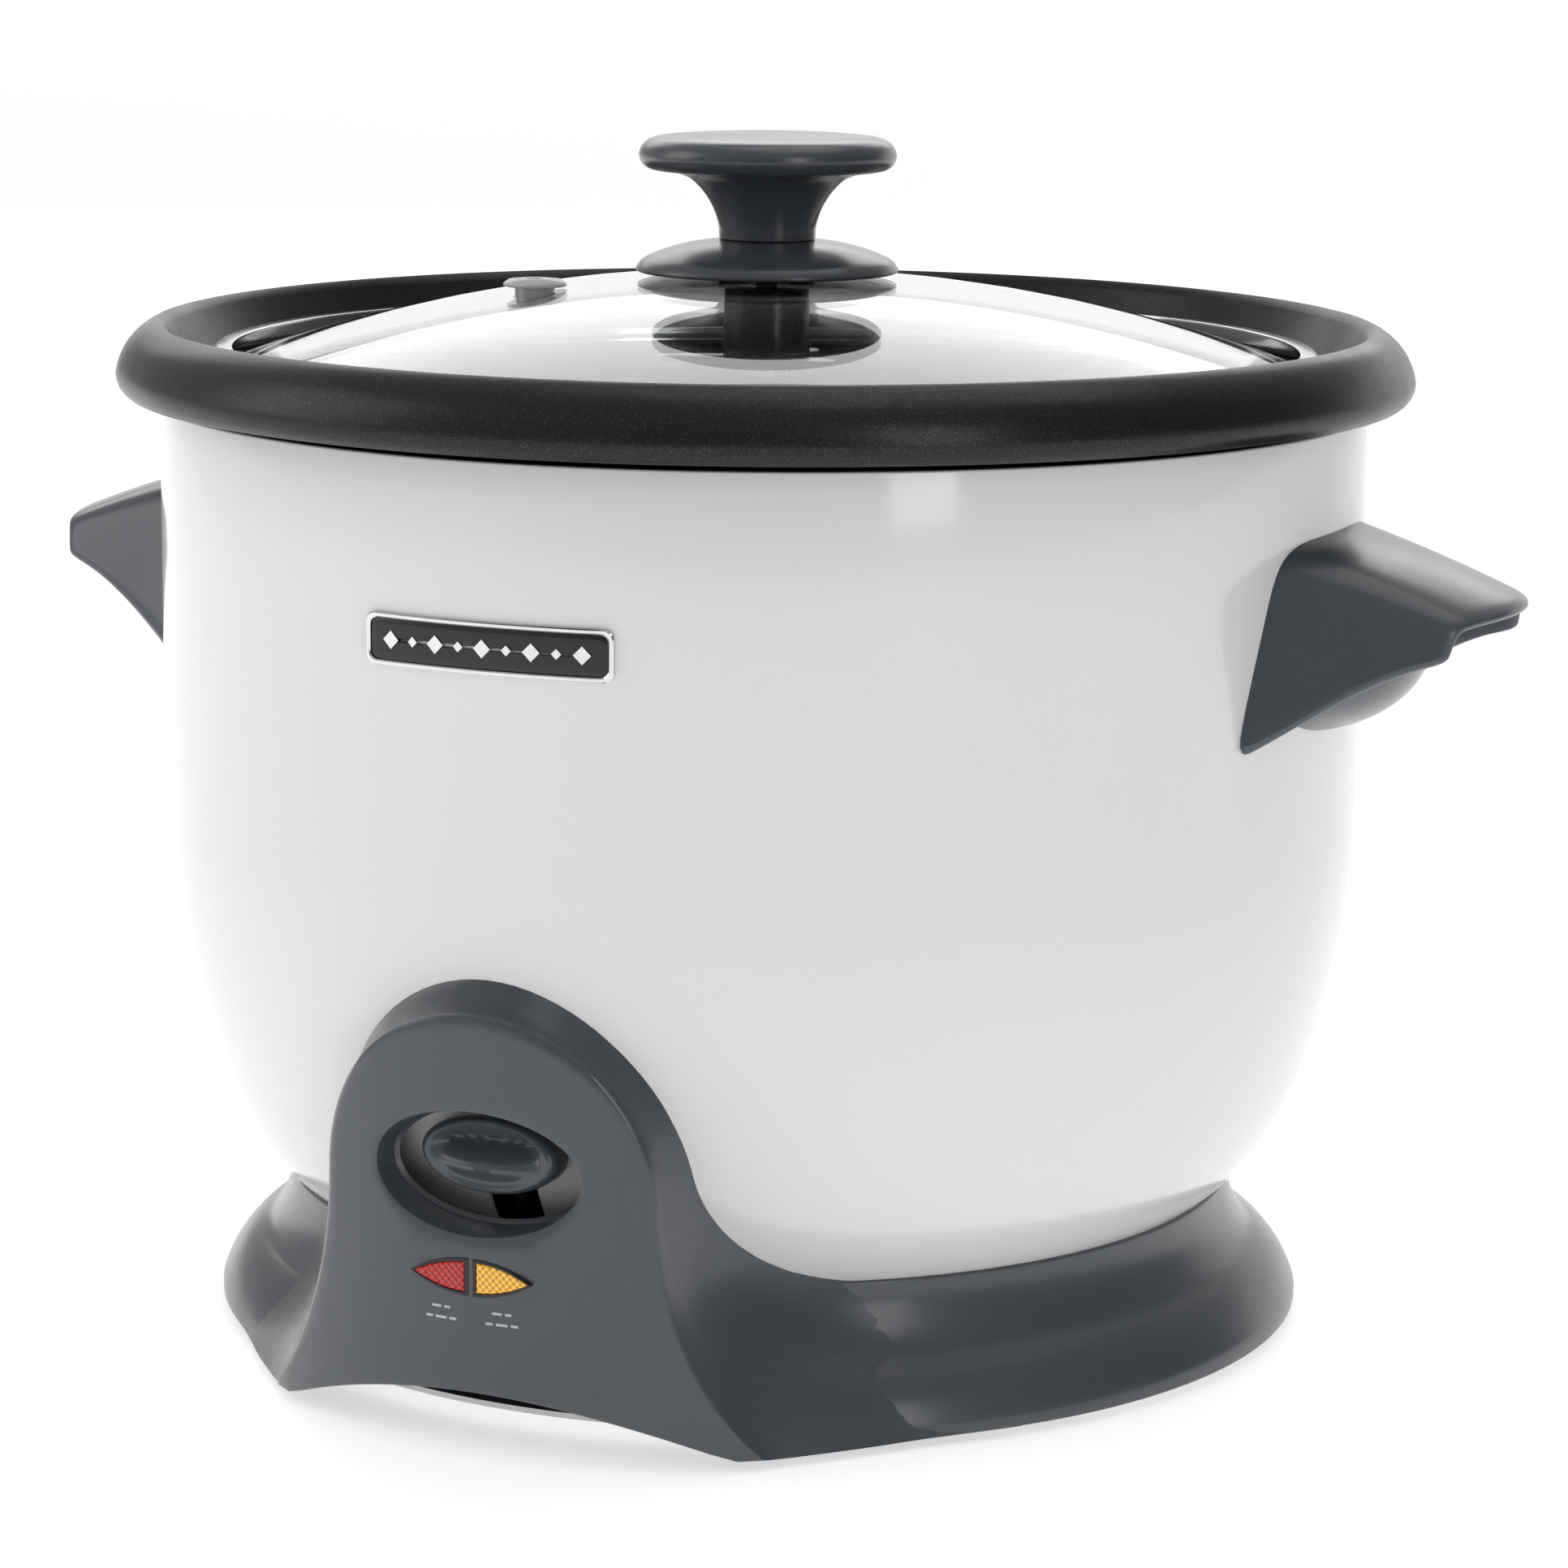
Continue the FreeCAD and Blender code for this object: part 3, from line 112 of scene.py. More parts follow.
def softbox(name, place, size, watts):
    """A soft lamp that points at the middle of the cooker."""
    data = bpy.data.lights.new(name, "AREA")
    data.shape = "RECTANGLE"
    data.size, data.size_y = size
    data.energy = watts
    lamp = bpy.data.objects.new(name, data)
    lamp.location = place
    lamp.rotation_euler = (AIM - Vector(place)).to_track_quat("-Z", "Y").to_euler()
    bpy.context.scene.collection.objects.link(lamp)


softbox("key_left", (-1.9, -0.9, 1.1), (1.3, 1.6), 10)
softbox("fill_right", (1.7, -1.3, 0.9), (0.5, 1.5), 7)
softbox("top", (0.2, 0.4, 2.1), (1.6, 1.6), 7)
softbox("behind", (-1.2, 2.2, 1.5), (3.0, 1.2), 17)

# %% Node helper
def node(tree, kind, values=None, sources=None, **settings):
    """Adds a node: settings on it, values on its inputs, and links from other nodes."""
    made = tree.nodes.new("ShaderNode" + kind)
    for key, value in settings.items():
        setattr(made, key, value)
    for key, value in (values or {}).items():
        made.inputs[key].default_value = value
    for key, source in (sources or {}).items():
        tree.links.new(source, made.inputs[key])
    return made


print("node helper ready")

# %% Room light
ROOM_STRENGTH = 0.45
world = bpy.data.worlds.new("studio")
world.use_nodes = True
room = world.node_tree
directions = node(room, "TexCoord").outputs["Generated"]


def dark_side(direction, start, shade):
    """White room light that falls off to a grey towards one direction."""
    facing = node(room, "VectorMath", {1: direction}, {0: directions}, operation="DOT_PRODUCT")
    tones = node(room, "ValToRGB", sources={"Fac": facing.outputs["Value"]})
    for element, place, level in zip(tones.color_ramp.elements, (start, 1.0), (1.0, shade)):
        element.position = place
        element.color = (level, level, level, 1)
    return tones.outputs["Color"]


both_sides = node(room, "VectorMath", sources={
    0: dark_side((0.36, -0.93, 0.0), 0.6, 0.35),
    1: dark_side((0.95, 0.31, 0.0), 0.35, 0.15)}, operation="MULTIPLY")
background = room.nodes["Background"]
background.inputs["Strength"].default_value = ROOM_STRENGTH
room.links.new(both_sides.outputs[0], background.inputs["Color"])
bpy.context.scene.world = world
bpy.context.scene.view_settings.view_transform = "Standard"
print("room light:", ROOM_STRENGTH)

# %% [markdown]
# ## Shared effects
# Real finishes are never one flat value. Each effect below is a node group with its own inputs:
# a slow drift of colour, a drift of gloss, a fine surface texture, lines left by turning, and
# metal flecks in a coating. Materials place the group and give it their own numbers.

# %% Group helper
def new_group(name, inputs, outputs):
    """An empty shader group: its tree, and its named sockets on the way in and out."""
    tree = bpy.data.node_groups.new(name, "ShaderNodeTree")
    for label, kind, value in inputs:
        socket = tree.interface.new_socket(label, in_out="INPUT", socket_type="NodeSocket" + kind)
        if value is not None:
            socket.default_value = value
    for label, kind in outputs:
        tree.interface.new_socket(label, in_out="OUTPUT", socket_type="NodeSocket" + kind)
    return tree, tree.nodes.new("NodeGroupInput").outputs, tree.nodes.new("NodeGroupOutput").inputs


print("group helper ready")

# %% Colour drift
def make_tone_group():
    """A slow drift in how light a colour is."""
    tree, given, result = new_group("tone_drift", [
        ("Vector", "Vector", None), ("Colour", "Color", (0.5, 0.5, 0.5, 1)),
        ("Scale", "Float", 20.0), ("Amount", "Float", 0.1)], [("Colour", "Color")])
    noise = node(tree, "TexNoise", {"Detail": 3.0},
                 {"Vector": given["Vector"], "Scale": given["Scale"]})
    centred = node(tree, "Math", {1: 0.5}, {0: noise.outputs["Fac"]}, operation="SUBTRACT")
    drift = node(tree, "Math", {2: 1.0}, {0: centred.outputs[0], 1: given["Amount"]},
                 operation="MULTIPLY_ADD")
    shade = node(tree, "HueSaturation",
                 sources={"Color": given["Colour"], "Value": drift.outputs[0]})
    tree.links.new(shade.outputs["Color"], result["Colour"])
    return tree


tone_drift = make_tone_group()
print("made", tone_drift.name)

# %% Gloss drift
def make_gloss_group():
    """A drift of roughness between two values."""
    tree, given, result = new_group("gloss_drift", [
        ("Vector", "Vector", None), ("Scale", "Float", 30.0), ("Low", "Float", 0.1),
        ("High", "Float", 0.3)], [("Roughness", "Float")])
    wide = node(tree, "TexNoise", {"Detail": 4.0, "Roughness": 0.6},
                {"Vector": given["Vector"], "Scale": given["Scale"]})
    spread = node(tree, "MapRange", {"From Min": 0.3, "From Max": 0.7},
                  {"Value": wide.outputs["Fac"], "To Min": given["Low"], "To Max": given["High"]})
    tree.links.new(spread.outputs["Result"], result["Roughness"])
    return tree


gloss_drift = make_gloss_group()
print("made", gloss_drift.name)

# %% Fine texture
def make_texture_group():
    """A fine grain on a broad waviness, as a height."""
    tree, given, result = new_group("fine_texture", [
        ("Vector", "Vector", None), ("Scale", "Float", 800.0), ("Broad", "Float", 60.0)],
        [("Height", "Float")])
    fine = node(tree, "TexNoise", {"Detail": 2.0},
                {"Vector": given["Vector"], "Scale": given["Scale"]})
    broad = node(tree, "TexNoise", {"Detail": 1.0},
                 {"Vector": given["Vector"], "Scale": given["Broad"]})
    both = node(tree, "Math", {1: 0.6}, {0: broad.outputs["Fac"], 2: fine.outputs["Fac"]},
                operation="MULTIPLY_ADD")
    tree.links.new(both.outputs[0], result["Height"])
    return tree


fine_texture = make_texture_group()
print("made", fine_texture.name)

# %% Turned lines
def make_turned_group():
    """Rings round the Z axis: a noise over distance from the axis and height."""
    tree, given, result = new_group("turned_lines", [
        ("Vector", "Vector", None), ("Scale", "Float", 2500.0)], [("Height", "Float")])
    split = node(tree, "SeparateXYZ", sources={0: given["Vector"]}).outputs
    flat = node(tree, "CombineXYZ", sources={"X": split["X"], "Y": split["Y"]})
    length = node(tree, "VectorMath", sources={0: flat.outputs[0]}, operation="LENGTH")
    profile = node(tree, "CombineXYZ", sources={"X": length.outputs["Value"], "Z": split["Z"]})
    lines = node(tree, "TexNoise", {"Detail": 2.0},
                 {"Vector": profile.outputs[0], "Scale": given["Scale"]})
    tree.links.new(lines.outputs["Fac"], result["Height"])
    return tree


turned_lines = make_turned_group()
print("made", turned_lines.name)

# %% Metal flecks
def make_fleck_group():
    """A mask of small dots, one in a share of the cells of a Voronoi pattern."""
    tree, given, result = new_group("metal_fleck", [
        ("Vector", "Vector", None), ("Scale", "Float", 2200.0), ("Share", "Float", 0.2)],
        [("Mask", "Float")])
    cells = node(tree, "TexVoronoi", sources={"Vector": given["Vector"], "Scale": given["Scale"]})
    pick = node(tree, "SeparateColor", sources={0: cells.outputs["Color"]})
    chosen = node(tree, "Math", sources={0: pick.outputs["Red"], 1: given["Share"]},
                  operation="LESS_THAN")
    core = node(tree, "MapRange",
                {"From Min": 0.15, "From Max": 0.45, "To Min": 1.0, "To Max": 0.0},
                {"Value": cells.outputs["Distance"]})
    dot = node(tree, "Math", sources={0: chosen.outputs[0], 1: core.outputs["Result"]},
               operation="MULTIPLY")
    tree.links.new(dot.outputs[0], result["Mask"])
    return tree


metal_fleck = make_fleck_group()
print("groups:", sorted(tree.name for tree in bpy.data.node_groups))

# %% [markdown]
# ## Finishes
# Every finish starts the same way: object coordinates in metres feed a drift of colour, a drift
# of gloss and a bump. What makes enamel, moulded plastic or turned steel differ is the numbers.

# %% Finish builder
finishes = {}


def place_group(tree, group, coords, **values):
    """Places a shared effect in a material with its own numbers."""
    made = tree.nodes.new("ShaderNodeGroup")
    made.node_tree = group
    tree.links.new(coords, made.inputs["Vector"])
    for key, value in values.items():
        made.inputs[key].default_value = value
    return made


def finish(name, colour, gloss, drift=0.06, drift_scale=18.0, gloss_scale=30.0, texture=900.0,
           broad=60.0, depth=0.00001, strength=0.25, turned=0.0, **shader):
    """A Principled material with drifting colour and gloss, and a fine bump."""
    material = bpy.data.materials.new(name)
    material.use_nodes = True
    tree = material.node_tree
    surface = tree.nodes["Principled BSDF"]
    coords = node(tree, "TexCoord").outputs["Object"]
    tone = place_group(tree, tone_drift, coords, Colour=(*colour, 1), Scale=drift_scale,
                       Amount=drift)
    tree.links.new(tone.outputs["Colour"], surface.inputs["Base Color"])
    sheen = place_group(tree, gloss_drift, coords, Scale=gloss_scale, Low=gloss[0], High=gloss[1])
    tree.links.new(sheen.outputs["Roughness"], surface.inputs["Roughness"])
    if turned:
        height = place_group(tree, turned_lines, coords, Scale=turned)
    else:
        height = place_group(tree, fine_texture, coords, Scale=texture, Broad=broad)
    bump = node(tree, "Bump", {"Strength": strength, "Distance": depth},
                {"Height": height.outputs["Height"]})
    tree.links.new(bump.outputs["Normal"], surface.inputs["Normal"])
    for key, value in shader.items():
        surface.inputs[key.replace("_", " ")].default_value = value
    finishes[name] = material
    return material


print("finish builder ready")

# %% Outside finishes
enamel = finish("shell_enamel", (0.80, 0.80, 0.80), (0.10, 0.17), drift=0.02, texture=350.0,
                broad=45.0, depth=0.00003, strength=0.12, Coat_Weight=0.4, Coat_Roughness=0.06)
slate = finish("slate_plastic", (0.062, 0.070, 0.080), (0.24, 0.34), drift=0.12, texture=700.0,
               depth=0.00002, strength=0.2, Coat_Weight=0.2, Coat_Roughness=0.16)
bright_steel = finish("bright_steel", (0.72, 0.72, 0.72), (0.08, 0.16), drift=0.04, turned=1800.0,
                      strength=0.2, Metallic=1.0)
print("outside finishes:", sorted(finishes))

# %% [markdown]
# ### Non-stick coating
# The pot's coating is dark and slightly rough, with fine bright metal flecks. The flecks are a
# mask that lifts the colour and the metallic value in small dots.

# %% Non-stick coating
def make_nonstick():
    """The dark coating, with flecks mixed into its colour and its metallic value."""
    material = finish("nonstick", (0.009, 0.009, 0.010), (0.26, 0.36), drift=0.2, texture=1200.0,
                      depth=0.00004, strength=0.5, Specular_IOR_Level=0.3)
    tree = material.node_tree
    surface = tree.nodes["Principled BSDF"]
    coords = node(tree, "TexCoord").outputs["Object"]
    flecks = place_group(tree, metal_fleck, coords, Scale=3200.0, Share=0.22)
    drifted = surface.inputs["Base Color"].links[0].from_socket
    mix = node(tree, "Mix", {7: (0.11, 0.107, 0.104, 1)},
               {0: flecks.outputs["Mask"], 6: drifted}, data_type="RGBA")
    tree.links.new(mix.outputs[2], surface.inputs["Base Color"])
    tree.links.new(flecks.outputs["Mask"], surface.inputs["Metallic"])
    return material


nonstick = make_nonstick()
print("coating ready:", nonstick.name)

# %% [markdown]
# ### Clear pieces
# The lid is clear glass with faint marks from washing, the vent is milky silicone, and the two
# lamp lenses are tinted plastic with small moulded prisms that break up the light.

# %% Glass and silicone
lid_glass = finish("lid_glass", (0.97, 0.985, 0.98), (0.0, 0.02), drift=0.01, gloss_scale=12.0,
                   depth=0.000002, strength=0.05, Transmission_Weight=1.0, IOR=1.46)
lamp_glass = finish("lamp_glass", (1.0, 0.86, 0.7), (0.02, 0.06), drift=0.03,
                    Transmission_Weight=0.8, IOR=1.45)
silicone = finish("vent_silicone", (0.80, 0.82, 0.82), (0.22, 0.36), drift=0.05,
                  Transmission_Weight=0.45, IOR=1.41)
print("clear finishes:", lid_glass.name, lamp_glass.name, silicone.name)

# %% Lamp lenses
PRISM = 0.00055


def make_lens(name, colour, glow):
    """Tinted plastic over a grid of small prisms, with painted highlight on their crests and
    painted shade in their valleys.
    """
    material = finish(name, colour, (0.08, 0.16), Transmission_Weight=0.25, IOR=1.49)
    tree = material.node_tree
    surface = tree.nodes["Principled BSDF"]
    coords = node(tree, "TexCoord").outputs["Object"]
    turned = node(tree, "Mapping", {"Rotation": (0, math.radians(45), 0)}, {"Vector": coords})
    split = node(tree, "SeparateXYZ", sources={0: turned.outputs[0]})
    waves = []
    for axis in ("X", "Z"):
        shifted = node(tree, "Math", {1: 1.0}, {0: split.outputs[axis]}, operation="ADD")
        wave = node(tree, "Math", {1: PRISM}, {0: shifted.outputs[0]}, operation="PINGPONG")
        waves.append(wave.outputs[0])
    prism = node(tree, "Math", sources=dict(enumerate(waves)), operation="ADD")
    rise = node(tree, "Math", {1: 900.0}, {0: prism.outputs[0]}, operation="MULTIPLY")
    bump = surface.inputs["Normal"].links[0].from_node
    for replaced in (bump.inputs["Height"], surface.inputs["Base Color"]):
        tree.nodes.remove(replaced.links[0].from_node)
    bump.inputs["Strength"].default_value = 0.9
    bump.inputs["Distance"].default_value = 0.0005
    tree.links.new(rise.outputs[0], bump.inputs["Height"])
    # Painted highlight and shade: the tint is lighter on the prism crests and darker in the
    # valleys, and the emission takes the same painted shading.
    shade = node(tree, "MapRange",
                 {"From Min": 0.1, "From Max": 0.9, "To Min": 0.35, "To Max": 1.25},
                 {"Value": rise.outputs[0]})
    prism_shaded_tint = node(tree, "HueSaturation", {"Color": (*colour, 1)}, {"Value": shade.outputs[0]})
    tree.links.new(prism_shaded_tint.outputs[0], surface.inputs["Base Color"])
    tree.links.new(prism_shaded_tint.outputs[0], surface.inputs["Emission Color"])
    surface.inputs["Emission Strength"].default_value = glow
    return material


lens_red = make_lens("lens_red", (0.62, 0.035, 0.025), 0.25)
lens_amber = make_lens("lens_amber", (0.95, 0.50, 0.06), 0.45)
print("lens finishes:", lens_red.name, lens_amber.name)

# %% [markdown]
# ### Inside finishes
# The pieces under the pot show only when it is lifted out or the cooker is turned over, and each
# has the finish that its making leaves: turned, cast, plated, drawn or moulded.

# %% Inside finishes
finish("liner_steel", (0.56, 0.56, 0.55), (0.24, 0.4), turned=1500.0, strength=0.4, Metallic=1.0)
finish("cast_alloy", (0.62, 0.62, 0.63), (0.3, 0.5), turned=2500.0, depth=0.00003, strength=0.5,
       Metallic=1.0)
finish("sheath_metal", (0.24, 0.22, 0.21), (0.4, 0.6), drift=0.5, drift_scale=90.0, texture=1500.0,
       strength=0.5, Metallic=0.9)
finish("fixings", (0.62, 0.62, 0.62), (0.22, 0.38), drift=0.12, drift_scale=220.0, Metallic=1.0)
finish("ferrite", (0.05, 0.05, 0.053), (0.5, 0.7), texture=2500.0, depth=0.00005, strength=0.5)
finish("rubber", (0.018, 0.018, 0.019), (0.55, 0.75), drift=0.25, texture=1500.0, depth=0.00003,
       strength=0.4)
bezel_black = finish("bezel_black", (0.012, 0.012, 0.013), (0.2, 0.32), drift=0.3)
finish("inner_plastic", (0.045, 0.045, 0.045), (0.45, 0.6), drift=0.2, texture=1800.0,
       strength=0.4)
finish("fuse_sleeve", (0.66, 0.64, 0.56), (0.5, 0.7), drift=0.15, texture=2600.0, depth=0.00005,
       strength=0.6)
finish("terminals", (0.66, 0.47, 0.18), (0.2, 0.35), drift=0.15, Metallic=1.0)
legend_ink = finish("legend_ink", (0.5, 0.52, 0.54), (0.4, 0.55), drift=0.1)

for part in frame["record"]["subparts"]:
    carried = frame["nodes"][part["node"]]
    carried.data.materials.clear()
    carried.data.materials.append(finishes[part["material_slot"]])
print("finishes:", len(finishes))

# %% [markdown]
# ## Floor finish
# Matt pale card, bright enough to melt into the room, so only the contact shadow shows.

# %% Floor finish
pale_card = finish("pale_card", (0.93, 0.93, 0.93), (0.7, 0.8), drift=0.01, drift_scale=2.0,
                   Emission_Color=(1, 1, 1, 1), Emission_Strength=0.55)
backdrop.data.materials.append(pale_card)
print("floor finish:", pale_card.name)

# %% [markdown]
# ## Lathe
# The shell, pot, lid and knob are all turned shapes. A lathe is the natural tool: draw half of
# the section as a wire, round its corners with a vertex bevel, and spin it about the axis.

# %% Profile helpers
def between(a, b, share):
    """The value a share of the way from a to b."""
    return a + (b - a) * share


def bowed(start, stop, radius, side, steps=8):
    """Points of a short arc, without its last. side is 1 with the centre on the left, -1 right."""
    (x0, z0), (x1, z1) = start, stop
    chord = math.hypot(x1 - x0, z1 - z0)
    rise = math.sqrt(max(radius ** 2 - chord ** 2 / 4, 0.0))
    cx = (x0 + x1) / 2 - (z1 - z0) / chord * rise * side
    cz = (z0 + z1) / 2 + (x1 - x0) / chord * rise * side
    first = math.atan2(z0 - cz, x0 - cx)
    sweep = (math.atan2(z1 - cz, x1 - cx) - first + math.pi) % math.tau - math.pi
    return [(cx + radius * math.cos(first + sweep * i / steps),
             cz + radius * math.sin(first + sweep * i / steps)) for i in range(steps)]


print("a quarter circle has", len(bowed((1, 0), (0, 1), 1, 1)), "points")

# %% Piece helper
def piece_from(bm, name, material, body, stands_for=(), sharp=35):
    """Turns a bmesh into a finished piece that rides on a body of the frame."""
    mesh = bpy.data.meshes.new(name)
    bm.to_mesh(mesh)
    bm.free()
    mesh.materials.append(material)
    mesh.shade_smooth()
    mesh.set_sharp_from_angle(angle=math.radians(sharp))
    piece = bpy.data.objects.new(name, mesh)
    bpy.context.scene.collection.objects.link(piece)
    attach(piece, body)
    if stands_for:
        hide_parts(*stands_for)
    print(f"{name}: {len(mesh.polygons)} faces")
    return piece


print("piece helper ready")

# %% Lathe
def turned_mesh(outline, steps=BAND_STEPS, open_ends=False):
    """A bmesh turned about Z from (radius, height) or (radius, height, rounding) in mm."""
    bm = bmesh.new()
    corners = [bm.verts.new((point[0] * MM, 0, point[1] * MM)) for point in outline]
    for pair in zip(corners, corners[1:]):
        bm.edges.new(pair)
    if not open_ends:
        bm.edges.new((corners[-1], corners[0]))
    for corner, point in zip(corners, outline):
        if len(point) == 3:
            bmesh.ops.bevel(bm, geom=[corner], offset=point[2] * MM, offset_type="OFFSET",
                            segments=4, profile=0.5, affect="VERTICES", material=-1,
                            clamp_overlap=True)
    bmesh.ops.spin(bm, geom=bm.verts[:] + bm.edges[:], cent=(0, 0, 0), axis=(0, 0, 1),
                   dvec=(0, 0, 0), angle=math.tau, steps=steps, use_merge=True,
                   use_duplicate=False)
    bmesh.ops.remove_doubles(bm, verts=bm.verts, dist=1e-6)
    bmesh.ops.recalc_face_normals(bm, faces=bm.faces)
    return bm


print("lathe ready")

# %% [markdown]
# ## Shell
# Drawn steel, straight at the top and rounded under, with its top edge rolled over. It is the
# largest smooth surface, so it gets the finest steps. A slot at the front, behind the hood, lets
# the lever's arm through: planes cut its edges, its faces go, and a bridge closes the walls.

# %% Shell outline
SHELL_R, SHELL_TOP, SHELL_LOW, SHELL_WALL = 134.4, 206.0, 18.3, 1.0
SHELL_BEND, SHELL_JOIN, SHELL_FLAT = (SHELL_R, 118.0), (125.27, 60.0), (68.13, SHELL_LOW)
FLOOR_HOLE, INNER_FLOOR = 30.0, 19.3
shell_side = ([(SHELL_R, SHELL_TOP, 0.5), (SHELL_R, 170.0), (SHELL_R, 140.0)]
              + bowed(SHELL_BEND, SHELL_JOIN, 190.0, -1, 14)
              + bowed(SHELL_JOIN, SHELL_FLAT, 60.0, -1, 16) + [SHELL_FLAT])
shell_inside = [(r - SHELL_WALL, z) for r, z, *_ in reversed(shell_side[:-1])]
shell_outline = (shell_side + [(FLOOR_HOLE, SHELL_LOW), (FLOOR_HOLE, INNER_FLOOR),
                               (SHELL_FLAT[0], INNER_FLOOR)] + shell_inside)
print("shell outline:", len(shell_outline), "points")

# %% Shell
SLOT_HALF, SLOT_TOP, SLOT_BACK = 6.0, 64.0, -78.0


def front_faces(bm, half, back, top=math.inf):
    """Faces near the middle of the front: within a half width, past a depth, under a height."""
    chosen = []
    for face in bm.faces:
        x, y, z = face.calc_center_median() / MM
        if abs(x) < half and y < back and z < top:
            chosen.append(face)
    return chosen


def slotted_shell():
    """The turned shell with the slot for the lever's arm."""
    bm = turned_mesh(shell_outline, FINE_STEPS)
    cuts = [((side * SLOT_HALF * MM, 0, 0), (1, 0, 0)) for side in (1, -1)]
    cuts += [((0, 0, SLOT_TOP * MM), (0, 0, 1)), ((0, SLOT_BACK * MM, 0), (0, 1, 0))]
    for place, normal in cuts:
        near = front_faces(bm, 20.0, -60.0, 75.0)
        edges = {edge for face in near for edge in face.edges}
        verts = {vert for face in near for vert in face.verts}
        bmesh.ops.bisect_plane(bm, geom=near + list(edges) + list(verts), dist=1e-7,
                               plane_co=place, plane_no=normal)
    slot = front_faces(bm, SLOT_HALF, SLOT_BACK, SLOT_TOP)
    bmesh.ops.delete(bm, geom=slot, context="FACES")
    bmesh.ops.bridge_loops(bm, edges=[edge for edge in bm.edges if edge.is_boundary])
    bmesh.ops.recalc_face_normals(bm, faces=bm.faces)
    print("open edges left in the shell:", sum(edge.is_boundary for edge in bm.edges))
    return bm


piece_from(slotted_shell(), "enamel_shell", enamel, "base", ["outer_shell"])

# %% [markdown]
# ## Pot
# The pot hangs by a broad rolled rim: up from the ledge that holds the lid, over a ridge, and
# down in a long curve to an edge that is curled under.

# %% Pot
POT_R, WALL, FLOOR, LEDGE, POT_CORNER = 121.5, 1.5, 60.0, 208.0, 28.0
INSIDE_R, INSIDE_FLOOR = POT_R - WALL, FLOOR + WALL
corner_r, corner_z = POT_R - POT_CORNER, FLOOR + POT_CORNER
pot_outline = (
    [(0, FLOOR)] + bowed((corner_r, FLOOR), (POT_R, corner_z), POT_CORNER, 1, 8)
    + [(POT_R, corner_z), (POT_R, LEDGE, 1.2), (128.0, LEDGE, 1.0), (134.7, 221.5, 1.0)]
    + bowed((134.9, 221.5), (142.4, 211.8), 11.0, -1, 6)
    + [(142.4, 211.2), (140.9, 208.2)]
    + bowed((141.7, 207.9), (144.0, 212.0), 5.0, 1, 4)
    + bowed((144.0, 212.0), (136.0, 222.9), 14.0, 1, 8)
    + [(136.0, 222.9), (134.7, 223.2), (133.5, 222.6), (132.6, 221.2),
       (126.5, LEDGE + WALL, 1.2), (INSIDE_R, LEDGE + WALL, 1.2), (INSIDE_R, corner_z)]
    + bowed((INSIDE_R, corner_z), (corner_r, INSIDE_FLOOR), POT_CORNER - WALL, -1, 8)[1:]
    + [(corner_r, INSIDE_FLOOR), (0, INSIDE_FLOOR)])
piece_from(turned_mesh(pot_outline, FINE_STEPS, open_ends=True), "pot_with_rim", nonstick, "pot",
           ["inner_pot"])

# %% [markdown]
# ## Lid
# One domed disc of glass in a thin steel band. The glass has real thickness and two surfaces, so
# it bends and mirrors the room the way glass does.

# %% Glass dome
GLASS_R, GLASS_EDGE, GLASS_TOP, GLASS_THICK = 120.0, 213.2, 233.6, 4.0
DOME_R = (GLASS_R ** 2 + (GLASS_TOP - GLASS_EDGE) ** 2) / (2 * (GLASS_TOP - GLASS_EDGE))


def dome_height(radius):
    """Height of the glass's outer face at a radius, in mm."""
    return GLASS_TOP - DOME_R + math.sqrt(DOME_R ** 2 - radius ** 2)


DOME_RADII = (4.2, 12, 24, 36, 48, 60, 72, 84, 96, 106, 113, 117.5)
outer_dome = [(r, dome_height(r)) for r in DOME_RADII]
dome_outline = (outer_dome + [(GLASS_R, GLASS_EDGE - 0.3, 0.4), (GLASS_R, GLASS_EDGE - 2.0, 0.4)]
                + [(r, z - GLASS_THICK) for r, z in reversed(outer_dome[:-1])])
piece_from(turned_mesh(dome_outline, FINE_STEPS), "glass_dome", lid_glass, "lid",
           ["lid_glass"])

# %% Steel band
BAND_R, BAND_IN, BAND_LOW, BAND_HIGH, BAND_WALL = 123.0, 118.4, 209.9, 217.6, 0.6
band_outline = [(BAND_IN, BAND_HIGH - BAND_WALL), (BAND_IN, BAND_HIGH, 0.2),
                (BAND_R - 0.8, BAND_HIGH, 0.6), (BAND_R, BAND_HIGH - 1.2, 0.4),
                (BAND_R, BAND_LOW + 0.8, 0.4), (BAND_R - 0.8, BAND_LOW, 0.4),
                (BAND_IN, BAND_LOW, 0.2), (BAND_IN, BAND_LOW + BAND_WALL),
                (BAND_R - BAND_WALL, BAND_LOW + BAND_WALL),
                (BAND_R - BAND_WALL, BAND_HIGH - BAND_WALL)]
piece_from(turned_mesh(band_outline), "steel_band", bright_steel, "lid",
           ["lid_band"])

# %% [markdown]
# ## Knob
# A waisted neck that swells into a broad round cap, standing on a wide dished flange. Both are
# moulded, so every edge has a small radius that catches the light.

# %% Flange
SCREW_HOLE = 2.6
flange_outline = ([(SCREW_HOLE, 234.6), (22.0, 234.8, 0.5), (29.0, 233.9, 0.3),
                   (29.3, 234.6, 0.3), (28.2, 236.2)]
                  + bowed((27.0, 237.0), (13.0, 240.7), 42.0, 1, 8)
                  + [(13.0, 240.7), (10.9, 241.0), (SCREW_HOLE, 241.0)])
piece_from(turned_mesh(flange_outline, KNOB_STEPS), "knob_dish", slate, "lid",
           ["knob_flange"])

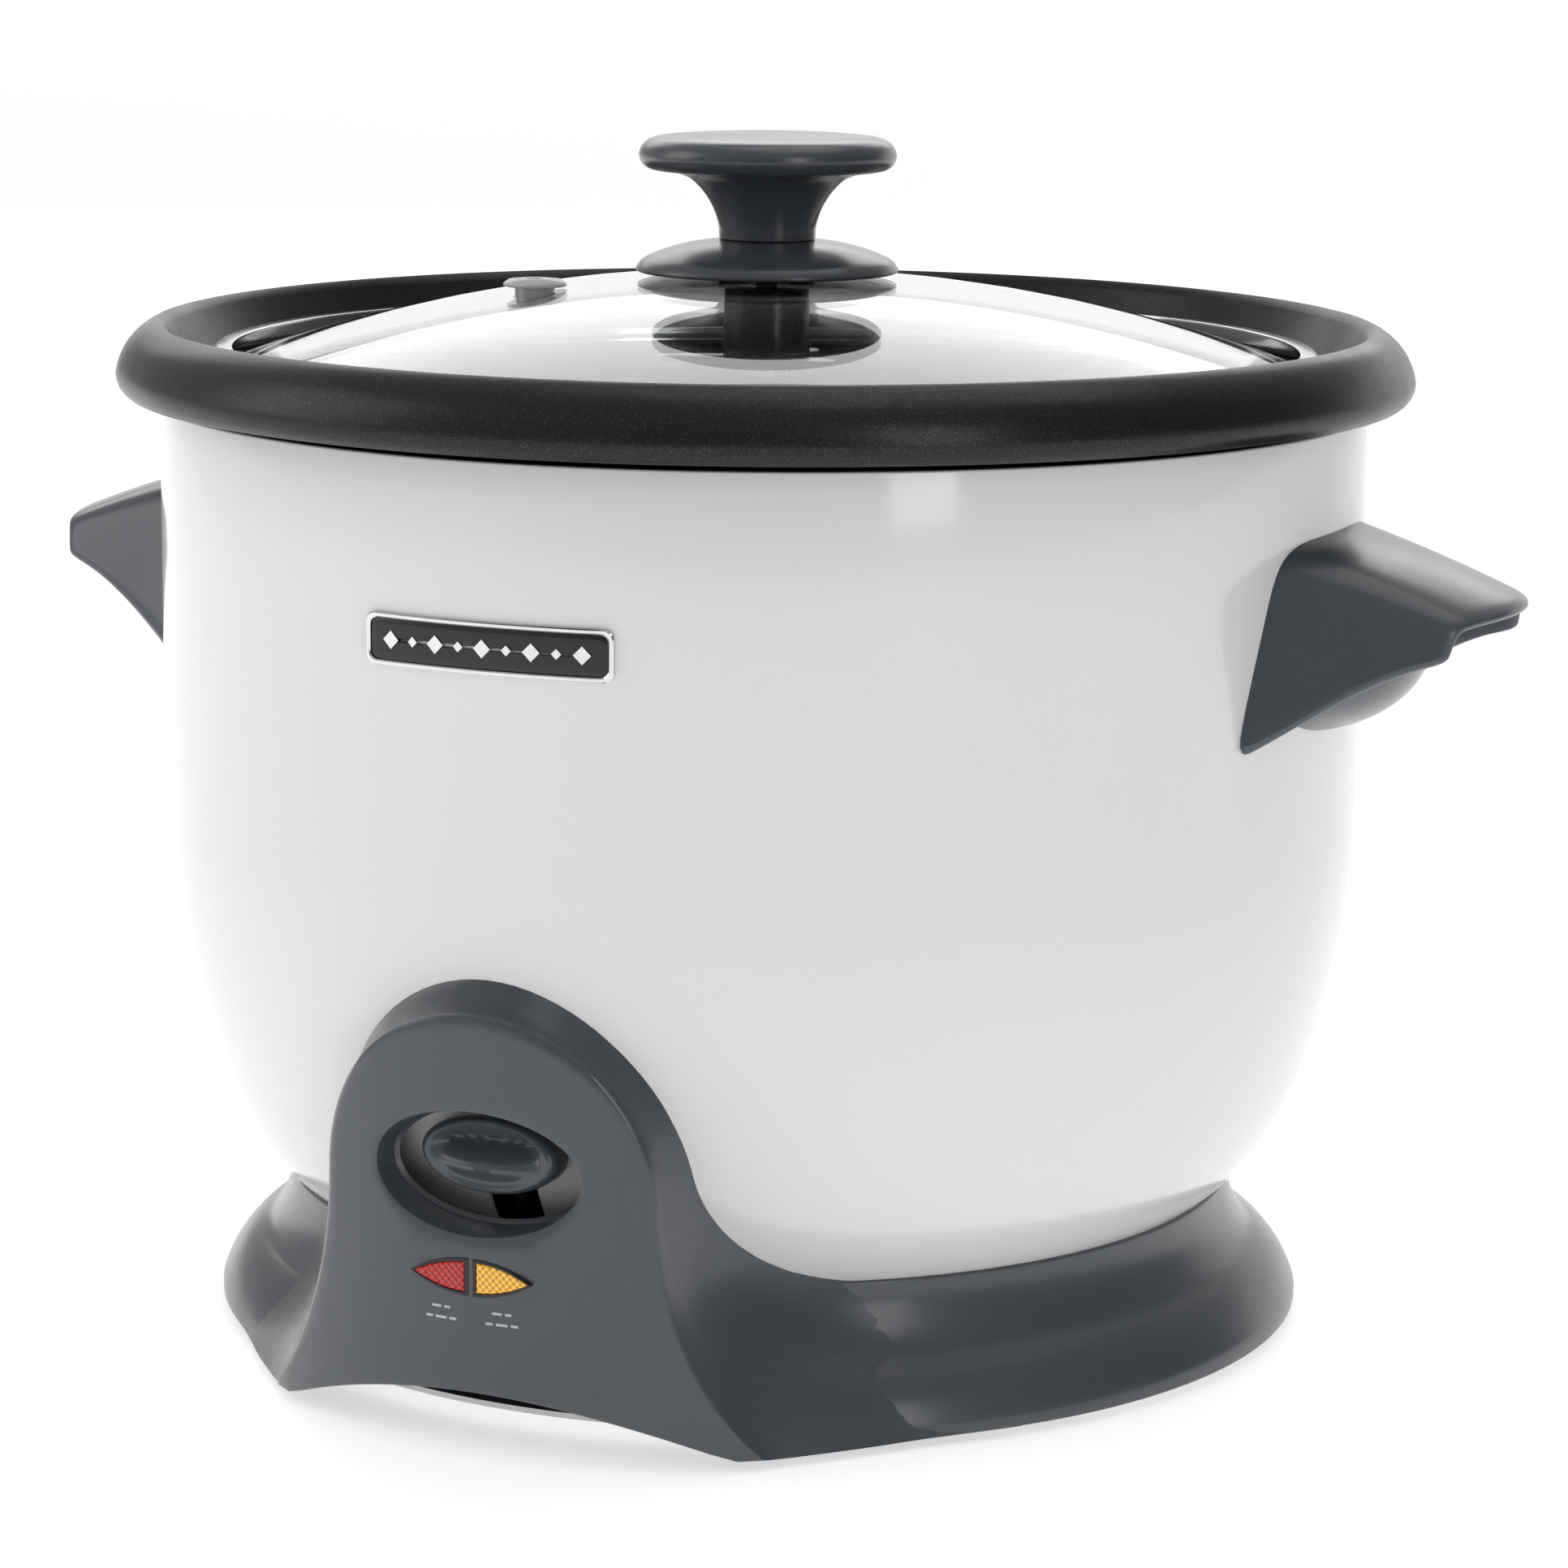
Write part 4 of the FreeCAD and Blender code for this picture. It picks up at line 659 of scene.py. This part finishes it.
# %% Knob
knob_outline = ([(0, 246.0), (SCREW_HOLE, 246.0), (SCREW_HOLE, 241.15), (10.7, 241.15, 0.3)]
                + bowed((10.8, 243.5), (17.5, 254.6), 17.0, -1, 10)
                + bowed((17.5, 254.6), (25.0, 256.4), 20.0, -1, 3)
                + bowed((25.4, 256.4), (28.6, 259.6), 3.3, 1, 5)
                + bowed((28.6, 259.8), (24.6, 263.4), 4.2, 1, 6)
                + [(24.6, 263.5), (20.0, 263.9), (12.0, 263.9), (0, 263.8)])
piece_from(turned_mesh(knob_outline, KNOB_STEPS, open_ends=True), "lid_grip", slate, "lid",
           ["lid_knob"])

# %% [markdown]
# ## Vent and nut
# The steam vent is a soft ring pushed into a hole in the glass. Under the middle of the dome a
# long nut with three leaves clamps the glass to the knob.

# %% Vent
VENT_PLACE = Vector((-42.0, -31.0, 0))
vent_top = dome_height(VENT_PLACE.length)
VENT_SECTION = [(2.0, -5.9), (5.5, -5.9, 0.3), (5.5, -5.1, 0.2), (4.4, -5.1), (4.4, 1.3),
                (7.0, 1.3, 0.3), (7.0, 2.0, 0.4), (5.6, 2.9, 0.3), (4.6, 2.3, 0.2),
                (3.6, 3.0, 0.3), (2.0, 3.0, 0.3)]
vent_mesh = turned_mesh([(r, vent_top + z, *rounding) for r, z, *rounding in VENT_SECTION],
                        SMALL_STEPS)
bmesh.ops.translate(vent_mesh, verts=vent_mesh.verts, vec=VENT_PLACE * MM)
piece_from(vent_mesh, "steam_vent", silicone, "lid", ["vent_grommet"])

# %% Nut with leaves
NUT_SECTION = [(SCREW_HOLE, 213.5), (9.3, 213.5, 0.4), (9.7, 214.5, 0.3), (9.4, 229.0, 0.5),
               (SCREW_HOLE, 229.0)]
LEAF_LONG, LEAF_WIDE, LEAF_THICK, LEAF_OUT, LEAF_LOW = 8.6, 4.7, 1.5, 15.2, 213.6


def push(bm, face, step):
    """Extrudes a face along a step, and gives back the vertices that moved."""
    moved = verts_in(bmesh.ops.extrude_face_region(bm, geom=[face])["geom"])
    bmesh.ops.translate(bm, verts=moved, vec=step)
    return moved


def leafed_nut():
    """A round barrel with three flat leaves at its foot."""
    bm = turned_mesh(NUT_SECTION, SMALL_STEPS)
    for index in range(3):
        leaf = bmesh.ops.create_circle(bm, cap_ends=True, radius=1.0, segments=32)["verts"]
        bmesh.ops.scale(bm, verts=leaf, vec=(LEAF_LONG * MM, LEAF_WIDE * MM, 1))
        bmesh.ops.translate(bm, verts=leaf, vec=(LEAF_OUT * MM, 0, LEAF_LOW * MM))
        whole = leaf + push(bm, leaf[0].link_faces[0], (0, 0, LEAF_THICK * MM))
        bmesh.ops.rotate(bm, verts=whole, cent=(0, 0, 0),
                         matrix=Matrix.Rotation(math.radians(90 + 120 * index), 3, "Z"))
    bmesh.ops.recalc_face_normals(bm, faces=bm.faces)
    return bm


piece_from(leafed_nut(), "leafed_nut", slate, "lid", ["wing_nut"])

# %% [markdown]
# ## Base and hood
# The base is a flared skirt with a hood that climbs the shell at the front. The hood's section
# is a bell: a round arch on two flares. Rings of that bell, bridged one to the next, run from
# the lever's recess, across the face, round its edge and back into the shell.

# %% Bell outline
ARCH_STEPS, FLARE_STEPS, FOOT_STEPS = 40, 16, 24
SIDE_POINTS = 2 * FLARE_STEPS + ARCH_STEPS + 1
HOOD_FRONT, FACE_R, FOOT_ARCH_HALF = 141.0, 94.5, 52.0
ARCH_ANGLES = [math.pi * step / ARCH_STEPS for step in range(ARCH_STEPS + 1)]


def bell(half, centre, foot, low, arch):
    """The hood's outline seen from the front, in mm, in one fixed number of points."""
    spread, rise = foot - half, centre - low
    flare = (spread ** 2 + rise ** 2) / (2 * spread)
    right = []
    for step in range(FLARE_STEPS):
        angle = math.asin(rise / flare) * (1 - step / FLARE_STEPS)
        right.append((half + flare - flare * math.cos(angle), centre - flare * math.sin(angle)))
    crown = [(half * math.cos(turn), centre + half * math.sin(turn)) for turn in ARCH_ANGLES]
    left = [(-x, z) for x, z in reversed(right)]
    lower = []
    for step in range(1, FOOT_STEPS):
        x = -foot + 2 * foot * step / FOOT_STEPS
        lower.append((x, low + arch * max(0.0, 1 - (x / FOOT_ARCH_HALF) ** 2)))
    return right + crown + left + lower


def face_depth(x):
    """How far forward the hood's rounded front stands at this x, in mm."""
    return HOOD_FRONT - FACE_R + math.sqrt(FACE_R ** 2 - x ** 2)


print("a bell has", len(bell(38.0, 56.5, 58.0, 2.5, 12.0)), "points")

# %% Skirt outline
SKIRT_LOW = 2.5
skirt_side = (bowed((123.0, 5.0), (112.5, 17.6), 22.0, 1, 10)
              + bowed((112.5, 17.6), (107.2, 32.0), 22.0, -1, 10))
skirt_outline = ([(123.0, SKIRT_LOW, 0.5)] + skirt_side
                 + [(107.2, 32.0, 0.3), (105.6, 32.3, 0.3), (104.5, 24.0), (107.5, 16.1),
                    (120.5, 5.0), (120.5, SKIRT_LOW, 0.5)])
skirt_radii = [(z, r) for r, z in skirt_side]


def value_at(height, levels):
    """Reads a list of (height, value), straight between its rows and level past its ends."""
    for (z0, v0), (z1, v1) in zip(levels, levels[1:]):
        if height <= z1:
            return between(v0, v1, max(0.0, height - z0) / (z1 - z0))
    return levels[-1][1]


def ease(low, high, value):
    """A smooth step from 0 at low to 1 at high."""
    part = min(1.0, max(0.0, (value - low) / (high - low)))
    return part * part * (3 - 2 * part)


def onto_skirt(point, share):
    """Leads a point of the hood's side just under the skirt, so that the two join smoothly."""
    x, y, z = point
    radius = math.hypot(x, y)
    pull = ease(0.35, 1.0, share) * (1 - ease(24.0, 34.0, z))
    scale = 1 + (value_at(z, skirt_radii) - 0.2 - radius) * pull / radius
    return x * scale, y * scale, z


print("skirt outline:", len(skirt_outline), "points")

# %% Where the hood meets the shell and the skirt
FLARE_GUIDE = [(96.0, -76.5, SKIRT_LOW), (94.5, -76.0, 7.5), (89.0, -75.0, 13.0),
               (80.0, -76.0, 20.0), (67.0, -81.0, 31.0), (57.0, -90.0, 46.0), (50.0, -96.0, 68.0)]
# How hollow the hood's side is by height: 1 is straight, 2 is a deep valley.
HOLLOW = [(2.5, 0.95), (14.0, 1.25), (22.0, 1.7), (30.0, 2.0), (56.0, 2.0), (75.0, 1.3),
          (94.5, 0.8)]


def back_curve():
    """The hood's last ring: down both flares it runs out along the skirt, in mm."""
    flare = []
    for step in range(FLARE_STEPS):
        place = step / FLARE_STEPS * (len(FLARE_GUIDE) - 1)
        first = int(place)
        flare.append(tuple(between(a, b, place - first)
                           for a, b in zip(FLARE_GUIDE[first], FLARE_GUIDE[first + 1])))
    half, depth, centre = FLARE_GUIDE[-1]
    crown = [(half * math.cos(turn), depth, centre + 54.0 * math.sin(turn))
             for turn in ARCH_ANGLES]
    left = [(-x, y, z) for x, y, z in reversed(flare)]
    foot, foot_depth, low = FLARE_GUIDE[0]
    lower = [(-foot + 2 * foot * step / FOOT_STEPS, foot_depth, low)
             for step in range(1, FOOT_STEPS)]
    return flare + crown + left + lower


print("the last ring has", len(back_curve()), "points")

# %% Rings from the recess to the shell
LEVER_Z, RECESS_W, RECESS_H, RECESS_DEEP = 61.0, 23.3, 12.8, 10.5
FACE_RINGS, SIDE_RINGS = 8, 12


def recess_oval(outline, margin):
    """The recess's oval, grown by a margin, with one point for each point of an outline."""
    half, rise = RECESS_W + margin, RECESS_H + margin
    points = []
    for x, z in outline:
        angle = math.atan2((z - LEVER_Z) / rise, x / half)
        points.append((half * math.cos(angle), LEVER_Z + rise * math.sin(angle)))
    return points


def on_face(points, back=0.0):
    """Lays flat points on the hood's rounded front, or a little behind it."""
    return [(x, -face_depth(x) + back, z) for x, z in points]


def hood_rings():
    """Rings of (x, y, z) in mm, from the recess floor outward and back into the shell."""
    edge = bell(38.0, 56.5, 58.0, 2.5, 12.0)
    near = bell(37.6, 56.5, 57.5, 2.8, 12.0)
    inset = bell(36.6, 56.5, 56.4, 3.6, 12.0)
    lip = recess_oval(edge, 1.0)
    floor = RECESS_DEEP - HOOD_FRONT
    rings = [[(x, floor, z) for x, z in recess_oval(edge, -1.2)],
             [(x, floor - 0.8, z) for x, z in recess_oval(edge, -0.3)],
             on_face(recess_oval(edge, 0.0), 1.3), on_face(recess_oval(edge, 0.3), 0.35),
             on_face(lip)]
    for step in range(1, FACE_RINGS + 1):
        share = step / FACE_RINGS
        rings.append(on_face([(between(x0, x1, share), between(z0, z1, share))
                              for (x0, z0), (x1, z1) in zip(lip, inset)]))
    rings += [on_face(near, 0.4), on_face(edge, 1.5)]
    for step in range(1, SIDE_RINGS + 1):
        share = step / SIDE_RINGS
        ring = []
        for index, ((x0, y0, z0), (x1, y1, z1)) in enumerate(zip(on_face(edge, 1.5), back_curve())):
            spread = share ** value_at(z0, HOLLOW)
            point = between(x0, x1, spread), between(y0, y1, share), between(z0, z1, spread)
            ring.append(onto_skirt(point, share) if index < SIDE_POINTS else point)
        rings.append(ring)
    return rings


def ring_mesh(rings):
    """Bridges closed rings of points in mm, each to the next."""
    bm = bmesh.new()
    loops = []
    for ring in rings:
        verts = [bm.verts.new((x * MM, y * MM, z * MM)) for x, y, z in ring]
        loops.append([bm.edges.new(pair) for pair in zip(verts, verts[1:] + verts[:1])])
    for near, far in zip(loops, loops[1:]):
        bmesh.ops.bridge_loops(bm, edges=near + far)
    return bm


print("hood rings:", len(hood_rings()))

# %% Hood and skirt
HOOD_WALL = 2.2


def face_outwards(bm):
    """Turns the normals the same way, with the topmost face up."""
    bmesh.ops.recalc_face_normals(bm, faces=bm.faces)
    if max(bm.faces, key=lambda face: face.calc_center_median().z).normal.z < 0:
        bmesh.ops.reverse_faces(bm, faces=bm.faces[:])


def base_mesh():
    """The hood and the skirt in one shell, open under the front arch."""
    bm = ring_mesh(hood_rings())
    face_outwards(bm)
    bmesh.ops.solidify(bm, geom=bm.faces[:], thickness=HOOD_WALL * MM)
    skirt = turned_mesh(skirt_outline, FINE_STEPS)
    bmesh.ops.delete(skirt, geom=front_faces(skirt, 52.0, -98.0), context="FACES")
    held = bpy.data.meshes.new("skirt_held")
    skirt.to_mesh(held)
    skirt.free()
    bm.from_mesh(held)
    bpy.data.meshes.remove(held)
    return bm


piece_from(base_mesh(), "base_and_hood", slate, "base", ["base_housing"],
           sharp=40)

# %% [markdown]
# ## Lever
# An oval paddle set back in the recess. Its upper half is scooped out for a fingertip and its
# lower half swells forward, so a finger presses it down without slipping.

# %% Lever
PADDLE_HALF, PADDLE_RISE, PADDLE_FACE, PADDLE_Z, PADDLE_STEPS = 15.8, 8.2, -133.8, 63.2, 72
PADDLE_SHARES = (0.985, 0.95, 0.9, 0.84, 0.76, 0.66, 0.54, 0.42, 0.3, 0.18, 0.07)


def paddle_depth(u, v):
    """How far the paddle's face stands forward, in mm, at a place in its unit oval."""
    reach = math.hypot(u, v)
    rim = math.exp(-((reach - 0.86) / 0.09) ** 2) * 0.9
    bowl = max(0.0, 1 - (reach / 0.8) ** 2)
    swell = bowl * 3.2 * math.exp(-((v + 0.30) / 0.30) ** 2)
    scoop = min(1.0, bowl * 2.5) * 3.6 * math.exp(-((v - 0.34) / 0.26) ** 2)
    edge = 1.3 * max(0.0, (reach - 0.9) / 0.1) ** 2
    return rim + swell - scoop - edge


def paddle_mesh():
    """Ovals from the paddle's back over its edge to the middle of its face, bridged."""
    turns = [math.tau * step / PADDLE_STEPS for step in range(PADDLE_STEPS)]
    rings = [[(PADDLE_HALF * math.cos(turn), PADDLE_FACE + depth,
               PADDLE_Z + PADDLE_RISE * math.sin(turn)) for turn in turns] for depth in (5.6, 1.6)]
    for share in PADDLE_SHARES:
        oval = [(share * math.cos(turn), share * math.sin(turn)) for turn in turns]
        rings.append([(PADDLE_HALF * u, PADDLE_FACE + 0.2 - paddle_depth(u, v),
                       PADDLE_Z + PADDLE_RISE * v) for u, v in oval])
    bm = ring_mesh(rings)
    bmesh.ops.holes_fill(bm, edges=bm.edges[:], sides=100)
    bmesh.ops.recalc_face_normals(bm, faces=bm.faces)
    return bm


piece_from(paddle_mesh(), "lever_paddle", slate, "lever", ["lever_tab"], sharp=50)

# %% [markdown]
# ## Lamp lenses
# Two small leaf-shaped windows in dark rims. Each lens is a flat outline pushed forward, with a
# beveled front edge; the rims are the same outline, wider and hollow.

# %% Lenses
LENS_Z, LENS_RISE, LENS_LONG, LENS_GAP = 39.4, 3.1, 11.6, 2.8
LENS_BACK, LENS_FRONT = 138.6, 141.4


def leaf_outline(side, margin):
    """A lens seen from the front: flat inside, pointed outside, in mm."""
    inner, outer = LENS_GAP / 2 - margin, LENS_GAP / 2 + LENS_LONG + margin
    low, high = (inner, LENS_Z - LENS_RISE - margin), (inner, LENS_Z + LENS_RISE + margin)
    tip = (outer, LENS_Z)
    points = bowed(low, tip, 26.0, 1, 10) + bowed(tip, high, 26.0, 1, 10) + [high]
    return [(side * x, z) for x, z in points]


def lens_mesh(side):
    """One lens: its outline pushed forward, with a beveled front edge."""
    bm = bmesh.new()
    verts = [bm.verts.new((x * MM, -LENS_BACK * MM, z * MM)) for x, z in leaf_outline(side, 0.0)]
    front = push(bm, bm.faces.new(verts), (0, (LENS_BACK - LENS_FRONT) * MM, 0))
    edges = [edge for edge in bm.edges if all(vert in front for vert in edge.verts)]
    bmesh.ops.bevel(bm, geom=edges, offset=0.35 * MM, segments=3, profile=0.5, affect="EDGES",
                    material=-1)
    bmesh.ops.recalc_face_normals(bm, faces=bm.faces)
    return bm


piece_from(lens_mesh(-1), "lens_cook_prism", lens_red, "base", ["lens_cook"])
piece_from(lens_mesh(1), "lens_warm_prism", lens_amber, "base", ["lens_warm"])

# %% Lens rims
RIM_SECTION = [(0.08, 138.6), (0.08, 141.1), (0.25, 141.3), (0.7, 141.3), (0.9, 141.1),
               (0.9, 138.6)]


def rim_mesh():
    """A thin dark rim round each lens: its section is (margin, depth) in mm."""
    bm = bmesh.new()
    for side in (-1, 1):
        loops = []
        for margin, depth in RIM_SECTION:
            verts = [bm.verts.new((x * MM, -depth * MM, z * MM))
                     for x, z in leaf_outline(side, margin)]
            loops.append([bm.edges.new(pair) for pair in zip(verts, verts[1:] + verts[:1])])
        for near, far in zip(loops, loops[1:] + loops[:1]):
            bmesh.ops.bridge_loops(bm, edges=near + far)
    bmesh.ops.recalc_face_normals(bm, faces=bm.faces)
    return bm


piece_from(rim_mesh(), "lens_rims", bezel_black, "base", ["lens_bezels"])

# %% [markdown]
# ## Printed marks
# Two short rows of light ink sit under each lens. They are plain dashes, not words.

# %% Printed marks
DASH_ROWS = ((2.2, 1.4), (1.6, 2.6, 1.6))
DASH_GAP, DASH_HIGH, MARK_X, MARK_Z, ROW_DROP, INK_LIFT = 0.7, 0.55, 7.0, 32.4, 2.3, 0.03


def printed_marks():
    """Thin dashes of ink, laid on the hood's rounded face."""
    bm = bmesh.new()
    for side in (-1, 1):
        for row, lengths in enumerate(DASH_ROWS):
            start = side * MARK_X - (sum(lengths) + DASH_GAP * (len(lengths) - 1)) / 2
            for length in lengths:
                dash = bmesh.ops.create_grid(bm, x_segments=4, y_segments=1, size=0.5)["verts"]
                for vert in dash:
                    x = start + (vert.co.x + 0.5) * length
                    z = MARK_Z - ROW_DROP * row + vert.co.y * DASH_HIGH
                    vert.co = Vector((x, -face_depth(x) - INK_LIFT, z)) * MM
                start += length + DASH_GAP
    bmesh.ops.recalc_face_normals(bm, faces=bm.faces)
    if bm.faces[:][0].normal.y > 0:
        bmesh.ops.reverse_faces(bm, faces=bm.faces[:])
    return bm


piece_from(printed_marks(), "printed_marks", legend_ink, "base")

# %% [markdown]
# ## Badge
# A small dark plate in a thin bright frame, bent to the shell. It carries no lettering: a row of
# plain lozenges stands in for any mark.

# %% Badge outline
BADGE_HALF, BADGE_RISE, BADGE_CORNER, BADGE_Z = 28.0, 5.4, 2.0, 168.5


def rounded_box(half, rise, corner, steps=6):
    """A rectangle with round corners, in mm."""
    points = []
    for sx, sz, start in ((1, 1, 0), (-1, 1, 90), (-1, -1, 180), (1, -1, 270)):
        for step in range(steps + 1):
            angle = math.radians(start + 90 * step / steps)
            points.append((sx * (half - corner) + corner * math.cos(angle),
                           sz * (rise - corner) + corner * math.sin(angle)))
    return points


def even_points(points, gap):
    """The same outline with extra points on its long runs."""
    filled = []
    for (x0, z0), (x1, z1) in zip(points, points[1:] + points[:1]):
        count = max(1, int(math.hypot(x1 - x0, z1 - z0) / gap))
        filled += [(between(x0, x1, i / count), between(z0, z1, i / count)) for i in range(count)]
    return filled


def on_shell(points, lift):
    """Wraps flat points round the shell, lifted off its face, in mm."""
    radius = SHELL_R + 0.05 + lift
    return [(radius * math.sin(x / SHELL_R), -radius * math.cos(x / SHELL_R), BADGE_Z + z)
            for x, z in points]


badge_outline = even_points(rounded_box(BADGE_HALF, BADGE_RISE, BADGE_CORNER), 2.0)


def badge_ring(inset, lift):
    """One ring round the badge, at an inset from its outline and a lift off the shell."""
    across, up = (BADGE_HALF - inset) / BADGE_HALF, (BADGE_RISE - inset) / BADGE_RISE
    return on_shell([(x * across, z * up) for x, z in badge_outline], lift)


print("badge outline:", len(badge_outline), "points")

# %% Badge rim
RIM_PROFILE = [(0.0, 0.0), (0.0, 0.9), (0.25, 1.15), (0.8, 1.15), (1.05, 0.9), (1.05, 0.0),
               (0.0, 0.0)]
rim_bm = ring_mesh([badge_ring(*place) for place in RIM_PROFILE])
bmesh.ops.remove_doubles(rim_bm, verts=rim_bm.verts, dist=1e-6)
bmesh.ops.recalc_face_normals(rim_bm, faces=rim_bm.faces)
piece_from(rim_bm, "badge_rim", bright_steel, "base", ["badge_frame"])

# %% Badge face
FACE_PROFILE = [(1.1, 0.0), (1.1, 0.55), (1.4, 0.75), (2.2, 0.8), (3.6, 0.8), (5.0, 0.8)]
plate_bm = ring_mesh([badge_ring(*place) for place in FACE_PROFILE])
bmesh.ops.holes_fill(plate_bm, edges=plate_bm.edges[:], sides=200)
bmesh.ops.recalc_face_normals(plate_bm, faces=plate_bm.faces)
piece_from(plate_bm, "badge_face", bezel_black, "base", ["badge_plate"])

# %% Lozenges
LOZENGE_GAP, LARGE, SMALL = 5.4, 1.9, 1.1


def lozenge_row():
    """Nine small raised lozenges along the badge."""
    bm = bmesh.new()
    for index in range(-4, 5):
        middle = index * LOZENGE_GAP
        reach = LARGE if index % 2 == 0 else SMALL
        shape = [(middle + reach, 0), (middle, reach), (middle - reach, 0), (middle, -reach)]
        low = [bm.verts.new(Vector(point) * MM) for point in on_shell(shape, 0.78)]
        push(bm, bm.faces.new(low), (0, -0.3 * MM, 0))
    bmesh.ops.recalc_face_normals(bm, faces=bm.faces)
    return bm


piece_from(lozenge_row(), "badge_lozenges", bright_steel, "base")

# %% [markdown]
# ## Handles
# Each handle is a hood that leaves the shell as a tall arch and runs out to a thin curved lip.
# Rings of the arch, bridged from root to lip, get a wall from a solidify and soft edges from a
# subdivision surface. A flattened sphere makes the rounded web underneath.

# %% Handle hood
HANDLE_ROOT, HANDLE_REACH, HANDLE_STEPS, HANDLE_WALL = 128.0, 48.0, 8, 2.8
WEB_SIZE, WEB_MIDDLE = (0.026, 0.0355, 0.019), (0.1285, 0, 0.1605)


def handle_ring(share):
    """One open arch of (x, y, z) in mm, from its front foot over the top to its back foot."""
    half, shoulder = between(44.0, 27.0, share), between(34.0, 25.5, share)
    flat, bend = between(22.0, 20.0, share), between(171.5, 167.0, share)
    low = between(141.0, 162.5, 0.45 * share + 0.55 * ease(0.0, 1.0, share))
    top = between(185.6, 170.5, 0.75 * share + 0.25 * share * share)
    side = [(half, low), (between(half, shoulder, 0.45), between(low, bend, 0.45)),
            (shoulder, bend), (between(shoulder, flat, 0.32), between(bend, top, 0.74)),
            (flat, top), (flat * 0.5, top + 0.5)]
    arch = side + [(0.0, top + 0.6)] + [(-y, z) for y, z in reversed(side)]
    return [(HANDLE_ROOT + math.sqrt(HANDLE_REACH ** 2 - y * y) * share, y, z) for y, z in arch]


def handle_mesh(side):
    """Arches bridged from root to lip and thickened, with a rounded web under them."""
    bm = bmesh.new()
    rows = []
    for step in range(HANDLE_STEPS + 1):
        verts = [bm.verts.new(Vector(point) * MM) for point in handle_ring(step / HANDLE_STEPS)]
        rows.append([bm.edges.new(pair) for pair in zip(verts, verts[1:])])
    for near, far in zip(rows, rows[1:]):
        bmesh.ops.bridge_loops(bm, edges=near + far)
    face_outwards(bm)
    bmesh.ops.solidify(bm, geom=bm.faces[:], thickness=HANDLE_WALL * MM)
    web = bmesh.ops.create_uvsphere(bm, u_segments=32, v_segments=20, radius=1.0)["verts"]
    bmesh.ops.scale(bm, verts=web, vec=WEB_SIZE)
    bmesh.ops.translate(bm, verts=web, vec=WEB_MIDDLE)
    if side < 0:
        bmesh.ops.rotate(bm, verts=bm.verts, cent=(0, 0, 0),
                         matrix=Matrix.Rotation(math.pi, 3, "Z"))
    return bm


for side, name in ((1, "right"), (-1, "left")):
    handle = piece_from(handle_mesh(side), f"{name}_handle_hood", slate, "base",
                        [f"handle_{name}"], sharp=80)
    soft = handle.modifiers.new("soften", "SUBSURF")
    soft.levels = soft.render_levels = 2

# %% [markdown]
# ## End


print("all pieces built")
